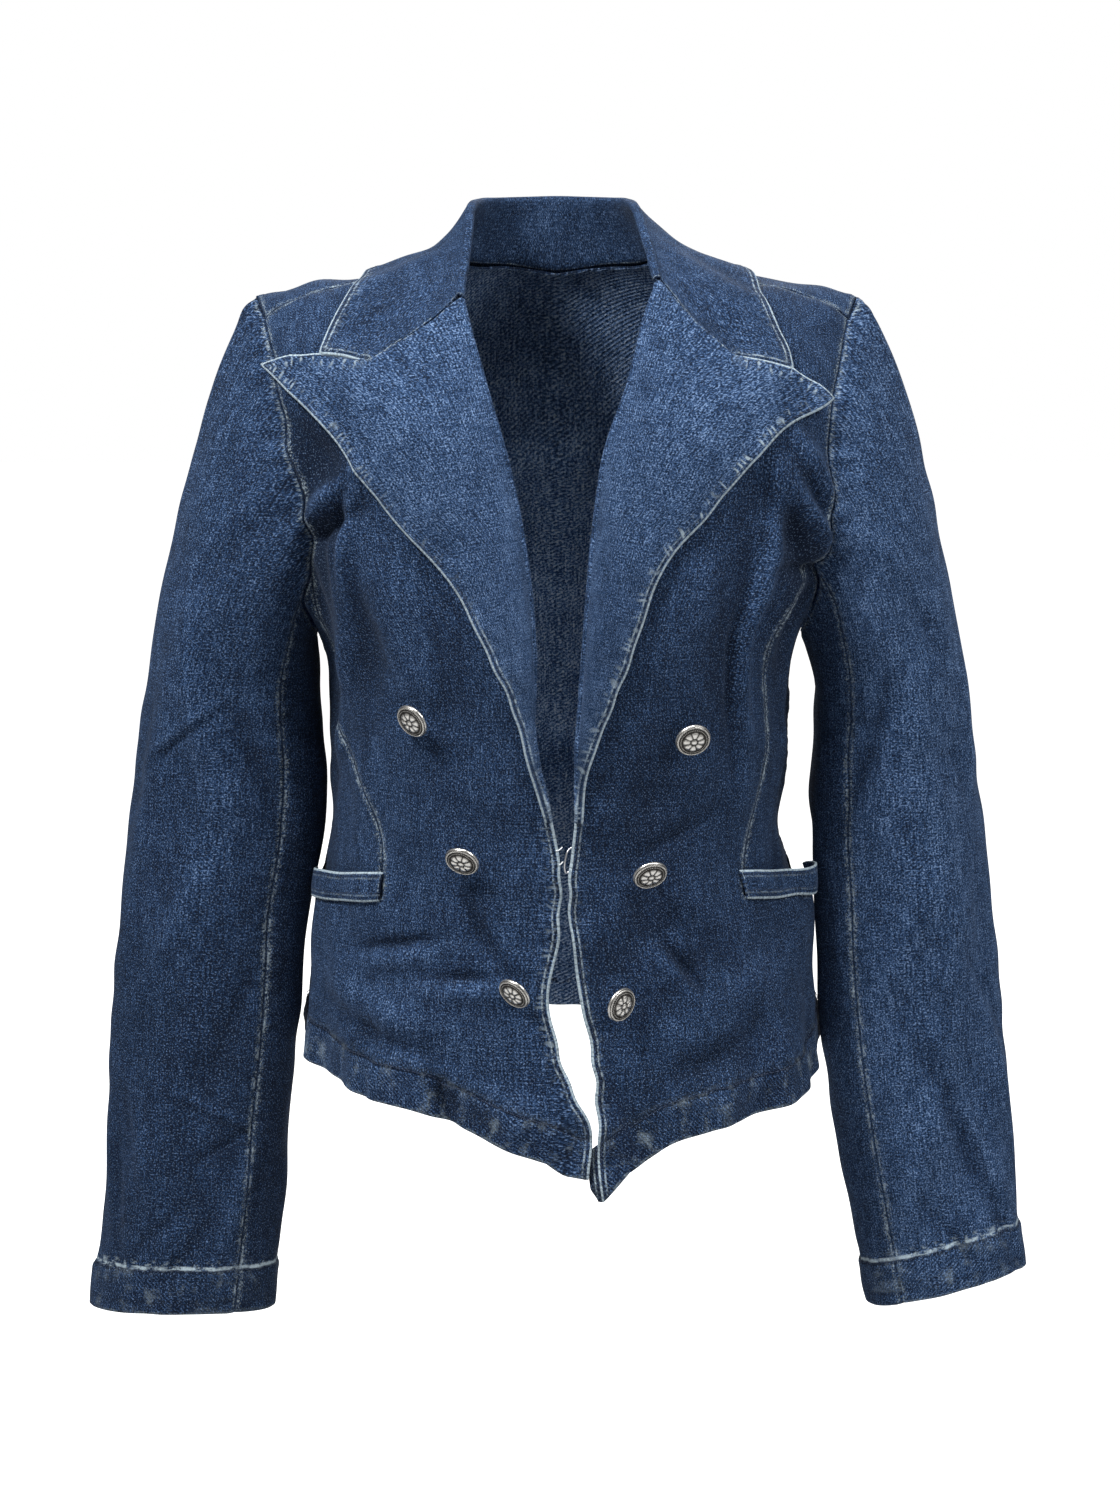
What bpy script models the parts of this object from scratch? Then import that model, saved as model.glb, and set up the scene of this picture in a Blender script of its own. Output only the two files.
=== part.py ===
"""Cropped denim blazer in its worn, hollow shape.

Every panel is a wall of cloth with the garment's own curve: two fronts, two side fronts, two side
backs, a back, two lapels, a collar, two-piece sleeves and two pocket welts, with six shank buttons
and a waist hook.  The frame: +Z up, the fronts face -Y, the wearer's left is +X, and the origin is
the middle of the neck at the height of the shoulders.

Run with:  blender --background --python part.py
"""
import bpy
import numpy as np

# ------------------------------------------------------------------ driving sizes, in metres
CLOTH = 0.0015              # wall of a single panel
FOLDED = 0.0028             # wall where a hem or cuff is turned up double
LAPEL_WALL = 0.0018
COLLAR_WALL = 0.0018
WELT_WALL = 0.0016
WELT_INSET = 0.8            # degrees from the princess seam to the end of a welt
SEAM_GAP = 0.0003           # clear space between pieces that are sewn together
HEM_DEPTH = 0.024           # from the fold of the hem up to its stitch line
HEM_STEP = 0.003            # height over which the double hem thins to one layer
ROUND = 2.4                 # exponent of the body's rings: 2 is an ellipse, more is squarer
ARCH_FOOT = -0.120          # height where the body starts to arch over to the shoulder
ARCH_LENGTH = 0.170         # length of the arch, from its foot to the ridge of the shoulder
RIDGE_V = ARCH_FOOT + ARCH_LENGTH
ARC_PER_DEGREE = 0.0023     # length of cloth round the body for one degree of turn
POCKET_TOP = -0.356         # upper edge of the welts
POCKET_SEAM = -0.371        # where the lower front starts, under the welt
POCKET_DROP = 0.014         # the pocket's outer end lies this much lower
POCKET_BACK = -0.386        # lower edge of the side front, tucked behind the welt
TUCK = 0.0027               # how far the side front steps in behind the welt
TUCK_TURN = 1.2             # degrees by which its tucked corner leaves the princess seam
TUCK_RISE = 0.006           # its second row lies this far below the welt's upper edge
GAPE_FOOT = -0.445          # height below which a gaping pocket no longer lifts the front
WELT_FOOT = 0.002           # the welt starts this far below the top of the lower front
WELT_CLEAR = 0.0014         # air between the welt and the front behind it
WELT_LEAN = 0.35            # share by which the top of a gaping welt stands out further
SHOULDER_BOW = 0.006        # rise of the shoulder seam between its ends
ROLL_LIFT = 0.0031          # lapel above the front, centre to centre, at the roll line
LAPEL_BELLY = 0.0045        # how much more it bows out between the roll line and its edge
EDGE_LIFT = 0.0025          # how much more it stands off at its edge
COLLAR_LIFT = {"right": 0.0038, "left": 0.0044}     # collar above the shoulder at its outer edge
SLEEVE_GAP = 0.0006         # the top row of a sleeve starts this far outside the armhole
COLLAR_FOOT = 0.0027        # foot of the collar's stand above the neckline
FOLD_RADIUS = 0.0026        # half the thickness of the collar's folded top edge
BUTTON_RADIUS = 0.0108
BUTTON_STEM = 0.0084        # from the foot of the shank to the back of the button
STEM_RADII = [0.0018, 0.0021, 0.0025, 0.0036]     # from the cloth to the back of the button
STEM_OVERLAP = 0.0008       # how far the stem stops behind the back of the button
HOOK_WIRE = 0.00055         # radius of the hook's wire
RIM_STEP = 0.00003          # added to half a seam gap, so that two rims never touch

SIDES = {"right": -1.0, "left": 1.0}


def table(names, rows):
    """A short table with named columns, as a dictionary of arrays."""
    return dict(zip(names.split(), np.array(rows, float).T))


# rings of the body, from below the hem up to the arch
BODY = table("height half_width front back shift", [
    (-0.600, 0.1720, 0.126, 0.118, 0.006),
    (-0.540, 0.1690, 0.125, 0.117, 0.006),
    (-0.485, 0.1650, 0.122, 0.113, 0.004),
    (-0.430, 0.1600, 0.117, 0.103, 0.003),
    (-0.390, 0.1535, 0.113, 0.092, 0.001),
    (-0.345, 0.1435, 0.112, 0.084, -0.001),
    (-0.285, 0.1450, 0.119, 0.090, 0.002),
    (-0.235, 0.1455, 0.126, 0.098, 0.002),
    (-0.210, 0.1530, 0.128, 0.101, 0.001),
    (-0.180, 0.1720, 0.127, 0.101, 0.000),
    (-0.150, 0.1870, 0.124, 0.099, 0.000),
    (-0.120, 0.1950, 0.121, 0.096, 0.000)])

# ridge line of the shoulders
RIDGE = table("across height", [
    (-0.030, 0.0345), (0.000, 0.0375), (0.030, 0.0345), (0.050, 0.0260), (0.070, 0.0165),
    (0.090, 0.0095), (0.120, 0.0040), (0.150, 0.0003), (0.170, -0.0035), (0.190, -0.0085),
    (0.210, -0.0140)])

# armhole, from the ridge of the shoulder down to the underarm; turns are measured from the side
ARMHOLE = {
    "right": table("station turn v", [
        (0, 18.0, 0.0500), (1, 24.7, -0.0033), (2, 28.3, -0.0290), (3, 31.2, -0.0520),
        (4, 33.4, -0.0740), (5, 35.5, -0.0960), (6, 39.0, -0.1180), (7, 38.0, -0.1470),
        (8, 29.0, -0.1750), (9, 21.5, -0.1900), (10, 14.0, -0.2020), (11, 7.0, -0.2120),
        (12, 0.0, -0.2165)]),
    "left": table("station turn v", [
        (0, 18.0, 0.0500), (1, 24.7, -0.0033), (2, 28.3, -0.0290), (3, 31.2, -0.0520),
        (4, 33.8, -0.0740), (5, 35.3, -0.0950), (6, 35.4, -0.1160), (7, 34.0, -0.1370),
        (8, 30.5, -0.1560), (9, 25.0, -0.1740), (10, 17.5, -0.1910), (11, 8.5, -0.2080),
        (12, 0.0, -0.2165)])}
UNDERARM_V = -0.2165
SHOULDER_STATION = 1        # outer end of the shoulder seam
FRONT_STATION = 8           # where the front's seam meets the armhole
SIDE_STATION = 12           # underarm
BACK_STATION = 17           # where the back's seam meets the armhole
STATIONS = 24

# free edge of each front, from the hem's corner up to the roll line and the gorge
FRONT_EDGE = {
    "right": table("height across", [
        (-0.539, 0.0195), (-0.512, 0.0205), (-0.476, 0.0052), (-0.430, -0.0050),
        (-0.385, 0.0010), (-0.345, 0.0010), (-0.312, -0.0050), (-0.275, -0.0135),
        (-0.212, -0.0140), (-0.142, -0.0215), (-0.098, -0.0310), (-0.064, -0.0410),
        (-0.027, -0.0520), (-0.009, -0.0572)]),
    "left": table("height across", [
        (-0.553, 0.0285), (-0.530, 0.0265), (-0.476, 0.0240), (-0.437, 0.0172),
        (-0.389, 0.0093), (-0.361, 0.0080), (-0.318, 0.0118), (-0.275, 0.0130),
        (-0.224, 0.0163), (-0.138, 0.0235), (-0.095, 0.0300), (-0.058, 0.0430),
        (-0.015, 0.0550), (0.001, 0.0612)])}

# outer edge of each lapel, from the break up to the tip
LAPEL_EDGE = {
    "right": table("height across", [
        (-0.318, -0.0065), (-0.290, -0.0145), (-0.241, -0.0280), (-0.206, -0.0444),
        (-0.172, -0.0620), (-0.148, -0.0850), (-0.113, -0.1140), (-0.080, -0.1395),
        (-0.060, -0.1620), (-0.049, -0.1740)]),
    "left": table("height across", [
        (-0.318, 0.0152), (-0.290, 0.0175), (-0.262, 0.0268), (-0.206, 0.0472),
        (-0.163, 0.0630), (-0.136, 0.0860), (-0.101, 0.1164), (-0.079, 0.1420),
        (-0.073, 0.1550), (-0.068, 0.1620)])}

# top of each lapel: gorge seam from the roll line to the collar's corner, then out to the tip
LAPEL_TOP = {
    "right": table("step across height", [
        (0, -0.0572, -0.0090), (2, -0.0830, -0.0285), (4, -0.1112, -0.0456),
        (6, -0.1402, -0.0428), (7, -0.1580, -0.0436), (8, -0.1740, -0.0490)]),
    "left": table("step across height", [
        (0, 0.0612, 0.0010), (2, 0.0820, -0.0230), (4, 0.1060, -0.0432),
        (6, 0.1400, -0.0510), (7, 0.1540, -0.0600), (8, 0.1620, -0.0680)])}
GORGE_STEPS = 4             # steps of that line along the gorge seam
NOTCH_STEP = 6              # step where the collar's outer edge meets the lapel
TIP_STEP = 8
GORGE_LIFT = table("step lift", [(0, 0.0040), (4, 0.0056), (6, 0.0060), (8, 0.0075)])

# fold of the collar and its outer edge, from each front end (0) to the centre back (8)
COLLAR = {
    "right": table("station fold_x fold_y fold_z edge_x edge_turn", [
        (0, 0.0585, -0.0765, -0.0035, 0.1400, 40.0),
        (1, 0.0578, -0.0660, 0.0050, 0.1368, 48.0),
        (2, 0.0562, -0.0480, 0.0170, 0.1325, 56.0),
        (3, 0.0545, -0.0270, 0.0340, 0.1235, 70.0),
        (4, 0.0535, -0.0030, 0.0490, 0.1170, 90.0),
        (5, 0.0480, 0.0250, 0.0525, 0.1020, 109.0),
        (6, 0.0370, 0.0420, 0.0530, 0.0770, 124.0),
        (7, 0.0200, 0.0520, 0.0535, 0.0420, 133.0),
        (8, 0.0000, 0.0550, 0.0540, 0.0000, 137.0)]),
    "left": table("station fold_x fold_y fold_z edge_x edge_turn", [
        (0, 0.0610, -0.0640, 0.0065, 0.1400, 34.0),
        (1, 0.0595, -0.0560, 0.0130, 0.1380, 42.0),
        (2, 0.0570, -0.0420, 0.0230, 0.1325, 50.0),
        (3, 0.0530, -0.0240, 0.0370, 0.1250, 63.0),
        (4, 0.0490, -0.0030, 0.0490, 0.1185, 87.0),
        (5, 0.0440, 0.0250, 0.0525, 0.1030, 108.0),
        (6, 0.0350, 0.0420, 0.0530, 0.0770, 124.0),
        (7, 0.0190, 0.0520, 0.0535, 0.0420, 133.0),
        (8, 0.0000, 0.0550, 0.0540, 0.0000, 137.0)])}
FALL_PULL = {"right": 0.95, "left": 0.72}     # how closely the fall follows neck and shoulder

# neckline, from each front end (0) to the centre back (8); turn is measured from the front
NECK = table("station across turn", [
    (1, 0.0610, 60.0), (2, 0.0645, 68.0), (3, 0.0670, 77.0), (4, 0.0680, 86.0),
    (5, 0.0640, 102.0), (6, 0.0530, 115.0), (7, 0.0300, 123.0), (8, 0.0000, 127.0)])
SIDE_NECK = 4
LAPEL_CORNER = 0.0016       # how far the lapel's inner corner stops short of the collar
NECK_START = 0.3            # station where the collar's stand starts, just behind the lapel

# seams of the body, as the turn from the centre front at each height
FRONT_SEAM = {
    "right": table("v turn", [
        (-0.560, 42.0), (-0.430, 42.0), (-0.371, 42.5), (-0.335, 45.5), (-0.295, 56.0),
        (-0.262, 71.0), (-0.220, 72.0), (-0.175, 61.0)]),
    "left": table("v turn", [
        (-0.560, 47.0), (-0.430, 47.0), (-0.371, 47.5), (-0.335, 53.5), (-0.295, 58.0),
        (-0.255, 58.5), (-0.215, 57.0), (-0.156, 59.5)])}
SIDE_SEAM = table("v turn", [(-0.560, 93.0), (-0.345, 92.0), (-0.2165, 90.0)])
BACK_SEAM = table("v turn", [
    (-0.560, 147.0), (-0.345, 148.0), (-0.250, 144.0), (-0.180, 134.0), (-0.137, 124.0)])

# hem, as its height at each turn from the centre front
HEM = {
    "right": table("turn v", [
        (0, -0.532), (8, -0.522), (18, -0.510), (28, -0.5010), (42, -0.495), (60, -0.488),
        (92, -0.481), (140, -0.484), (180, -0.487)]),
    "left": table("turn v", [
        (0, -0.556), (8, -0.5385), (18, -0.5195), (28, -0.512), (42, -0.507), (60, -0.500),
        (92, -0.483), (140, -0.484), (180, -0.487)])}

# heights of the rows across a front: up its free edge, its outer seam and the side seam
EDGE_ROWS = [-0.460, -0.412, -0.365, -0.318, -0.288, -0.258, -0.226, -0.195, -0.166,
             -0.140, -0.116, -0.094, -0.074, -0.056, -0.039, -0.023]
SEAM_ROWS = [-0.440, -0.405, POCKET_SEAM, -0.343, -0.312, -0.281, -0.250, -0.219, -0.188]
SIDE_ROWS = [-0.448, -0.418, -0.385, -0.358, -0.335, -0.311, -0.287, -0.263, -0.240]
BREAK_ROW = 6               # row where the lapel starts to turn out
POCKET_ROW = 5              # row where the lower front meets the welt
ARMHOLE_ROW = 12            # row where the front's seam meets the armhole
SHOULDER_COLUMNS = 5
POCKET_COLUMNS = 8          # columns of cloth from the princess seam to the side seam

# rings of the sleeves, from the upper arm down to the cuff
SLEEVE = {
    "right": table("height outer inner depth forward tilt", [
        (-0.262, 0.2612, 0.1505, 0.054, 0.000, 0.05),
        (-0.325, 0.2705, 0.1470, 0.044, 0.002, 0.03),
        (-0.395, 0.2790, 0.1585, 0.036, 0.005, 0.02),
        (-0.465, 0.2855, 0.1640, 0.031, 0.006, 0.02),
        (-0.530, 0.2890, 0.1722, 0.028, 0.008, 0.01),
        (-0.590, 0.2935, 0.1778, 0.026, 0.010, 0.00),
        (-0.628, 0.2975, 0.1825, 0.025, 0.011, 0.00),
        (-0.655, 0.3010, 0.1858, 0.024, 0.012, 0.00)]),
    "left": table("height outer inner depth forward tilt", [
        (-0.262, 0.2590, 0.1645, 0.053, 0.000, 0.05),
        (-0.325, 0.2690, 0.1615, 0.043, 0.000, 0.05),
        (-0.395, 0.2785, 0.1645, 0.036, 0.001, 0.07),
        (-0.465, 0.2850, 0.1700, 0.031, 0.002, 0.10),
        (-0.530, 0.2915, 0.1800, 0.028, 0.004, 0.15),
        (-0.580, 0.2965, 0.1905, 0.026, 0.006, 0.20),
        (-0.614, 0.3000, 0.1980, 0.025, 0.008, 0.24),
        (-0.642, 0.3020, 0.2040, 0.024, 0.009, 0.26)])}
CAP_FULLNESS = {"right": 0.38, "left": 0.50}    # how far the cap swells before it falls
CAP_LEAVE = (0.66, 0.12, -0.25, -0.74, 0.08)    # its heading: outward, forward and downward parts
SLEEVE_SQUARE = 0.9         # power of the rings' sine and cosine: below 1 is fuller than an ellipse
SLEEVE_RADIUS = 0.045       # of a round arm, for the width of a sleeve's folds
UNDERARM_LIFT = 0.0021      # the sleeve's under half starts this far outside the body's cloth
UNDERARM_SPAN = 5.5         # stations either side of the underarm over which it does
HEAD_STEPS = [0.0, 0.12, 0.30, 0.52, 0.76]      # rows between the armhole and the first ring
# turn round the sleeve at chosen armhole stations: 0 outside, 90 front, 180 inside, 270 back
SLEEVE_TURN = table("station turn", [
    (0, 0), (4, 52), (9, 125), (12, 175), (16, 245), (20, 305), (24, 360)])
SLEEVE_FRONT = 9            # station of the sleeve's front seam
SLEEVE_BACK = 16            # station of the sleeve's back seam

# largest folds of the body: a positive depth is a ridge, a negative one a trough
FOLDS = table("turn v heading length width depth", [
    (-52.0, -0.135, 62, 0.120, 0.018, -0.0040),
    (-60.0, -0.150, 75, 0.110, 0.016, 0.0030),
    (52.0, -0.150, 118, 0.150, 0.017, 0.0040),
    (44.0, -0.180, 112, 0.130, 0.017, -0.0040),
    (-34.0, -0.405, 4, 0.110, 0.018, -0.0025),
    (30.0, -0.430, 30, 0.120, 0.020, -0.0025),
    (160.0, -0.330, 8, 0.160, 0.020, -0.0030),
    (-160.0, -0.350, -8, 0.160, 0.020, -0.0030),
    (128.0, -0.190, 60, 0.120, 0.018, -0.0030),
    (-128.0, -0.190, -60, 0.120, 0.018, -0.0030)])

# largest folds of the sleeves; slope is the turn, in degrees, gained per metre up the sleeve
SLEEVE_FOLDS = {
    "right": table("turn height slope length width depth", [
        (60, -0.330, 300, 0.200, 0.016, -0.0030),
        (95, -0.430, -250, 0.160, 0.014, 0.0030),
        (40, -0.520, 200, 0.160, 0.016, -0.0030),
        (300, -0.420, 260, 0.220, 0.018, -0.0035)]),
    "left": table("turn height slope length width depth", [
        (55, -0.500, -160, 0.260, 0.014, -0.0040),
        (85, -0.350, 260, 0.180, 0.014, 0.0030),
        (60, -0.420, 120, 0.200, 0.016, 0.0030),
        (300, -0.450, -260, 0.220, 0.018, -0.0035)])}

# buttons: place on the front, the way each hanging face leans against the front's -1, and the
# thread between cloth and shank
BUTTONS = table("across height face_x face_z thread", [
    (-0.0815, -0.255, -0.85, -0.60, 0.0006), (-0.0545, -0.341, -0.40, -0.75, 0.0008),
    (-0.0240, -0.423, -0.80, -0.72, 0.0001), (0.0780, -0.266, 0.25, -0.50, 0.0005),
    (0.0540, -0.350, 0.35, -0.75, 0.0008), (0.0370, -0.430, 0.95, -0.28, 0.0000)])

# how far the mouth of each pocket stands open
GAPE = {"right": 0.0035, "left": 0.0120}

DENIM = (0.035, 0.060, 0.120, 1.0)
FACING = (0.045, 0.075, 0.145, 1.0)
SILVER = (0.55, 0.53, 0.48, 1.0)


# ------------------------------------------------------------------ curves and the body's surface
def smooth(x, known, values):
    """Cubic curve through the points of a table, level beyond its ends."""
    x = np.asarray(x, float)
    slopes = np.gradient(values, known)
    i = np.clip(np.searchsorted(known, x) - 1, 0, len(known) - 2)
    span = known[i + 1] - known[i]
    t = np.clip((x - known[i]) / span, 0.0, 1.0)
    start = values[i] * (1 + 2 * t) * (1 - t) ** 2 + slopes[i] * span * t * (1 - t) ** 2
    end = values[i + 1] * (3 - 2 * t) * t ** 2 + slopes[i + 1] * span * t ** 2 * (t - 1)
    return start + end


def ease(x, low, high):
    """Smooth step from 0 at low to 1 at high."""
    t = np.clip((np.asarray(x, float) - low) / (high - low), 0.0, 1.0)
    return t * t * (3 - 2 * t)


def unit(vectors):
    """Vectors scaled to a length of one."""
    return vectors / np.linalg.norm(vectors, axis=-1, keepdims=True)


def ring(v, column):
    """A size of the body's ring at height v."""
    return smooth(np.minimum(v, ARCH_FOOT), BODY["height"], BODY[column])


def ridge(across):
    """Height of the shoulder's ridge."""
    return smooth(np.abs(across), RIDGE["across"], RIDGE["height"])


def body_form(turn, v):
    """Body surface without folds.

    Below the arch each ring is a superellipse at height v.  Above it, v goes on along a quarter
    ellipse to the ridge of the shoulder, and past the ridge down the other side.
    """
    angle = np.radians(turn)
    sine, cosine = np.sin(angle), np.cos(angle)
    x = ring(v, "half_width") * np.sign(sine) * np.abs(sine) ** (2 / ROUND) + ring(v, "shift")
    arch = np.clip((v - ARCH_FOOT) / ARCH_LENGTH, 0, 2) * np.pi / 2
    facing = np.where(cosine >= 0, 1.0, -1.0) * np.where(np.cos(arch) >= 0, 1.0, -1.0)
    depth = np.where(facing > 0, ring(v, "front"), ring(v, "back"))
    y = -facing * depth * np.abs(cosine) ** (2 / ROUND) * np.abs(np.cos(arch))
    z = np.where(v <= ARCH_FOOT, v, ARCH_FOOT + (ridge(x) - ARCH_FOOT) * np.sin(arch))
    return np.stack([x, y, z], -1)


def form_normal(turn, v):
    """Outward normal of the body surface without folds, from small steps along it."""
    step = 0.4
    round_body = body_form(turn + step, v) - body_form(turn - step, v)
    up_body = body_form(turn, v + 0.001) - body_form(turn, v - 0.001)
    return unit(np.cross(round_body, up_body))


def relief(turn, v):
    """Height of the folds: each is a soft ridge or trough along a straight heading."""
    total = np.zeros(np.broadcast(turn, v).shape)
    for row in zip(*FOLDS.values()):
        turn_0, v_0, heading, length, width, depth = row
        offset = (np.asarray(turn) - turn_0 + 180.0) % 360.0 - 180.0
        a, b = offset * ARC_PER_DEGREE, v - v_0
        c, s = np.cos(np.radians(heading)), np.sin(np.radians(heading))
        along, across = a * c + b * s, b * c - a * s
        total = total + depth * np.exp(-(across / width) ** 2 - (2 * along / length) ** 2)
    return total


def body(turn, v):
    """Body surface with its folds."""
    flat = body_form(turn, v)
    return flat + form_normal(turn, v) * relief(turn, v)[..., None]


def body_normal(turn, v):
    """Outward normal of the folded surface."""
    step = 0.4
    round_body = body(turn + step, v) - body(turn - step, v)
    up_body = body(turn, v + 0.001) - body(turn, v - 0.001)
    return unit(np.cross(round_body, up_body))


def arch_v(across, height):
    """v of a point of the arch, from its distance across and its height."""
    rise = np.clip((height - ARCH_FOOT) / (ridge(across) - ARCH_FOOT), 0, 1)
    arched = ARCH_FOOT + ARCH_LENGTH * np.arcsin(rise) / (np.pi / 2)
    return np.where(height <= ARCH_FOOT, height, arched)


def front_place(across, height):
    """Turn and v of a point of the front, from its distance across and its height."""
    v = arch_v(across, height)
    share = np.clip((across - ring(v, "shift")) / ring(v, "half_width"), -1, 1)
    turn = np.degrees(np.sign(share) * np.arcsin(np.abs(share) ** (ROUND / 2)))
    return np.stack([turn, v], -1)


def arch_place(side, across, turn_from_front):
    """Turn and v of a point of the arch, from its distance across and its turn over the ridge."""
    share = np.asarray(across) / ring(ARCH_FOOT, "half_width")
    turn = np.degrees(np.arcsin(share ** (ROUND / 2)))
    over = np.asarray(turn_from_front) > 90.0
    v = ARCH_FOOT + ARCH_LENGTH * np.where(over, 180.0 - turn_from_front, turn_from_front) / 90.0
    return np.stack([side * np.where(over, 180.0 - turn, turn), v], -1)


def from_back(place):
    """The same place of the arch, counted from the back over the ridge."""
    turn, v = place[..., 0], place[..., 1]
    return np.stack([np.sign(turn) * (180.0 - np.abs(turn)), 2 * RIDGE_V - v], -1)


# ------------------------------------------------------------------ places on armhole, neck, seams
def armhole_place(side, station):
    """Turn and v of the armhole at a station: 0 ridge, 12 underarm, 24 ridge again."""
    station = np.asarray(station, float)
    behind = station > SIDE_STATION
    mirrored = np.where(behind, STATIONS - station, station)
    hole = ARMHOLE["left" if side > 0 else "right"]
    turn = smooth(mirrored, hole["station"], hole["turn"])
    v = smooth(mirrored, hole["station"], hole["v"])
    return np.stack([side * np.where(behind, 90.0 + turn, 90.0 - turn), v], -1)


def neck_place(side, station):
    """Turn and v of the neckline: 0 front end, 4 shoulder seam, 8 centre back."""
    station = np.asarray(station, float)
    name = "left" if side > 0 else "right"
    end = abs(LAPEL_TOP[name]["across"][0]), LAPEL_TOP[name]["height"][0]
    end_turn = 90.0 * (arch_v(*end) - ARCH_FOOT) / ARCH_LENGTH
    known = np.concatenate([[0], NECK["station"]])
    across = smooth(station, known, np.concatenate([[end[0]], NECK["across"]]))
    turn = smooth(station, known, np.concatenate([[end_turn], NECK["turn"]]))
    return arch_place(side, across, turn)


def shoulder_place(side, share):
    """Turn and v of the shoulder seam, from the armhole (0) to the neck (1)."""
    start = armhole_place(side, SHOULDER_STATION)
    end = neck_place(side, SIDE_NECK)
    share = np.asarray(share)[..., None]
    bow = np.concatenate([0 * share, SHOULDER_BOW * np.sin(np.pi * share)], -1)
    return start * (1 - share) + end * share + bow


def seam_place(side, seam, v):
    """Turn and v of a seam of the body at height v."""
    v = np.asarray(v, float)
    return np.stack([side * smooth(v, seam["v"], seam["turn"]), v], -1)


def hem_v(side, turn):
    """Height of the hem at a turn from the centre front."""
    hem = HEM["left" if side > 0 else "right"]
    return smooth(np.abs(turn), hem["turn"], hem["v"])


def hem_rows(side, turn, above):
    """Rows from the hem's fold past its stitch line to the given heights."""
    low = hem_v(side, turn)
    return np.concatenate([[low, low + HEM_DEPTH, low + HEM_DEPTH + HEM_STEP], above])


def patch(bottom, top, left, right):
    """Grid of places between four boundary lines, blended from opposite sides."""
    s = np.linspace(0, 1, len(bottom))[None, :, None]
    t = np.linspace(0, 1, len(left))[:, None, None]
    ruled = (1 - t) * bottom[None] + t * top[None] + (1 - s) * left[:, None] + s * right[:, None]
    corners = ((1 - s) * (1 - t) * bottom[0] + s * (1 - t) * bottom[-1]
               + (1 - s) * t * top[0] + s * t * top[-1])
    return ruled - corners


# ------------------------------------------------------------------ solids
def grid_faces(rows, columns, closed=False):
    """Triangles of a grid, two for each cell."""
    r, c = np.meshgrid(np.arange(rows - 1), np.arange(columns if closed else columns - 1),
                       indexing="ij")
    a = (r * columns + c).ravel()
    b = (r * columns + (c + 1) % columns).ravel()
    return np.concatenate([np.stack([a, b, b + columns], -1),
                           np.stack([a, b + columns, a + columns], -1)])


def facing_out(points, normals, faces):
    """Triangles turned so that they face the way the normals point."""
    corners = points[faces]
    facing = np.cross(corners[:, 1] - corners[:, 0], corners[:, 2] - corners[:, 0])
    return faces if (facing * normals[faces[:, 0]]).sum() > 0 else faces[:, ::-1]


def merged(blocks):
    """Grids that share a line of points, joined into one sheet."""
    points = np.concatenate([block["points"].reshape(-1, 3) for block in blocks])
    normals = np.concatenate([block["normals"].reshape(-1, 3) for block in blocks])
    walls = np.concatenate([block["walls"].ravel() for block in blocks])
    start, faces = 0, []
    for block in blocks:
        rows, columns = block["points"].shape[:2]
        faces.append(facing_out(points, normals, grid_faces(rows, columns) + start))
        start += rows * columns
    keys = np.round(points * 1e6).astype(np.int64)
    first, index = np.unique(keys, axis=0, return_index=True, return_inverse=True)[1:]
    faces = index.ravel()[np.concatenate(faces)]
    return {"points": points[first], "normals": normals[first], "walls": walls[first],
            "faces": faces}


def sheet(grid_points, grid_normals, walls):
    """One grid as a sheet."""
    rows, columns = grid_points.shape[:2]
    points, normals = grid_points.reshape(-1, 3), grid_normals.reshape(-1, 3)
    return {"points": points, "normals": normals,
            "walls": np.broadcast_to(walls, (rows, columns)).ravel(),
            "faces": facing_out(points, normals, grid_faces(rows, columns))}


def material(name, colour, roughness, metallic):
    """Plain Principled material of a piece."""
    made = bpy.data.materials.new(name)
    made.use_nodes = True
    shader = made.node_tree.nodes["Principled BSDF"]
    shader.inputs["Base Color"].default_value = colour
    shader.inputs["Roughness"].default_value = roughness
    shader.inputs["Metallic"].default_value = metallic
    return made


def add_object(name, points, faces, colour, roughness=0.9, metallic=0.0):
    """One named piece with its own material."""
    mesh = bpy.data.meshes.new(name)
    mesh.from_pydata(np.asarray(points).tolist(), [], [list(map(int, face)) for face in faces])
    mesh.materials.append(material(name + "_finish", colour, roughness, metallic))
    mesh.shade_smooth()
    mesh.set_sharp_from_angle(angle=np.radians(50))
    piece = bpy.data.objects.new(name, mesh)
    bpy.context.scene.collection.objects.link(piece)
    return piece


def boundary_edges(faces):
    """Edges of a sheet that belong to one triangle, in that triangle's order."""
    edges = np.concatenate([faces[:, [0, 1]], faces[:, [1, 2]], faces[:, [2, 0]]])
    directed = {(int(a), int(b)) for a, b in edges}
    return np.array([edge for edge in sorted(directed) if edge[::-1] not in directed])


def cloth_solid(name, piece, colour=DENIM, shrink=SEAM_GAP / 2 + RIM_STEP):
    """Closed wall of cloth round a sheet: half its thickness each way, and a rim all round.

    The rim's points first step in by half a seam gap, square to the edge and along the cloth.
    """
    points, normals, faces = piece["points"].copy(), piece["normals"], piece["faces"]
    rim = boundary_edges(faces)
    inward = np.zeros_like(points)
    along = unit(points[rim[:, 1]] - points[rim[:, 0]])
    for end in (0, 1):
        np.add.at(inward, rim[:, end], np.cross(normals[rim[:, end]], along))
    edge = np.unique(rim)
    sizes = np.linalg.norm(inward[edge], axis=1, keepdims=True)
    points[edge] += 2 * shrink * inward[edge] / np.maximum(sizes ** 2, 1.0)
    half = piece["walls"][:, None] / 2
    count = len(points)
    shell = np.concatenate([points + normals * half, points - normals * half])
    a, b = rim[:, 0], rim[:, 1]
    rim_faces = np.concatenate([np.stack([b, a, a + count], -1),
                                np.stack([b, a + count, b + count], -1)])
    return add_object(name, shell, np.concatenate([faces, faces[:, ::-1] + count, rim_faces]),
                      colour)


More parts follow.
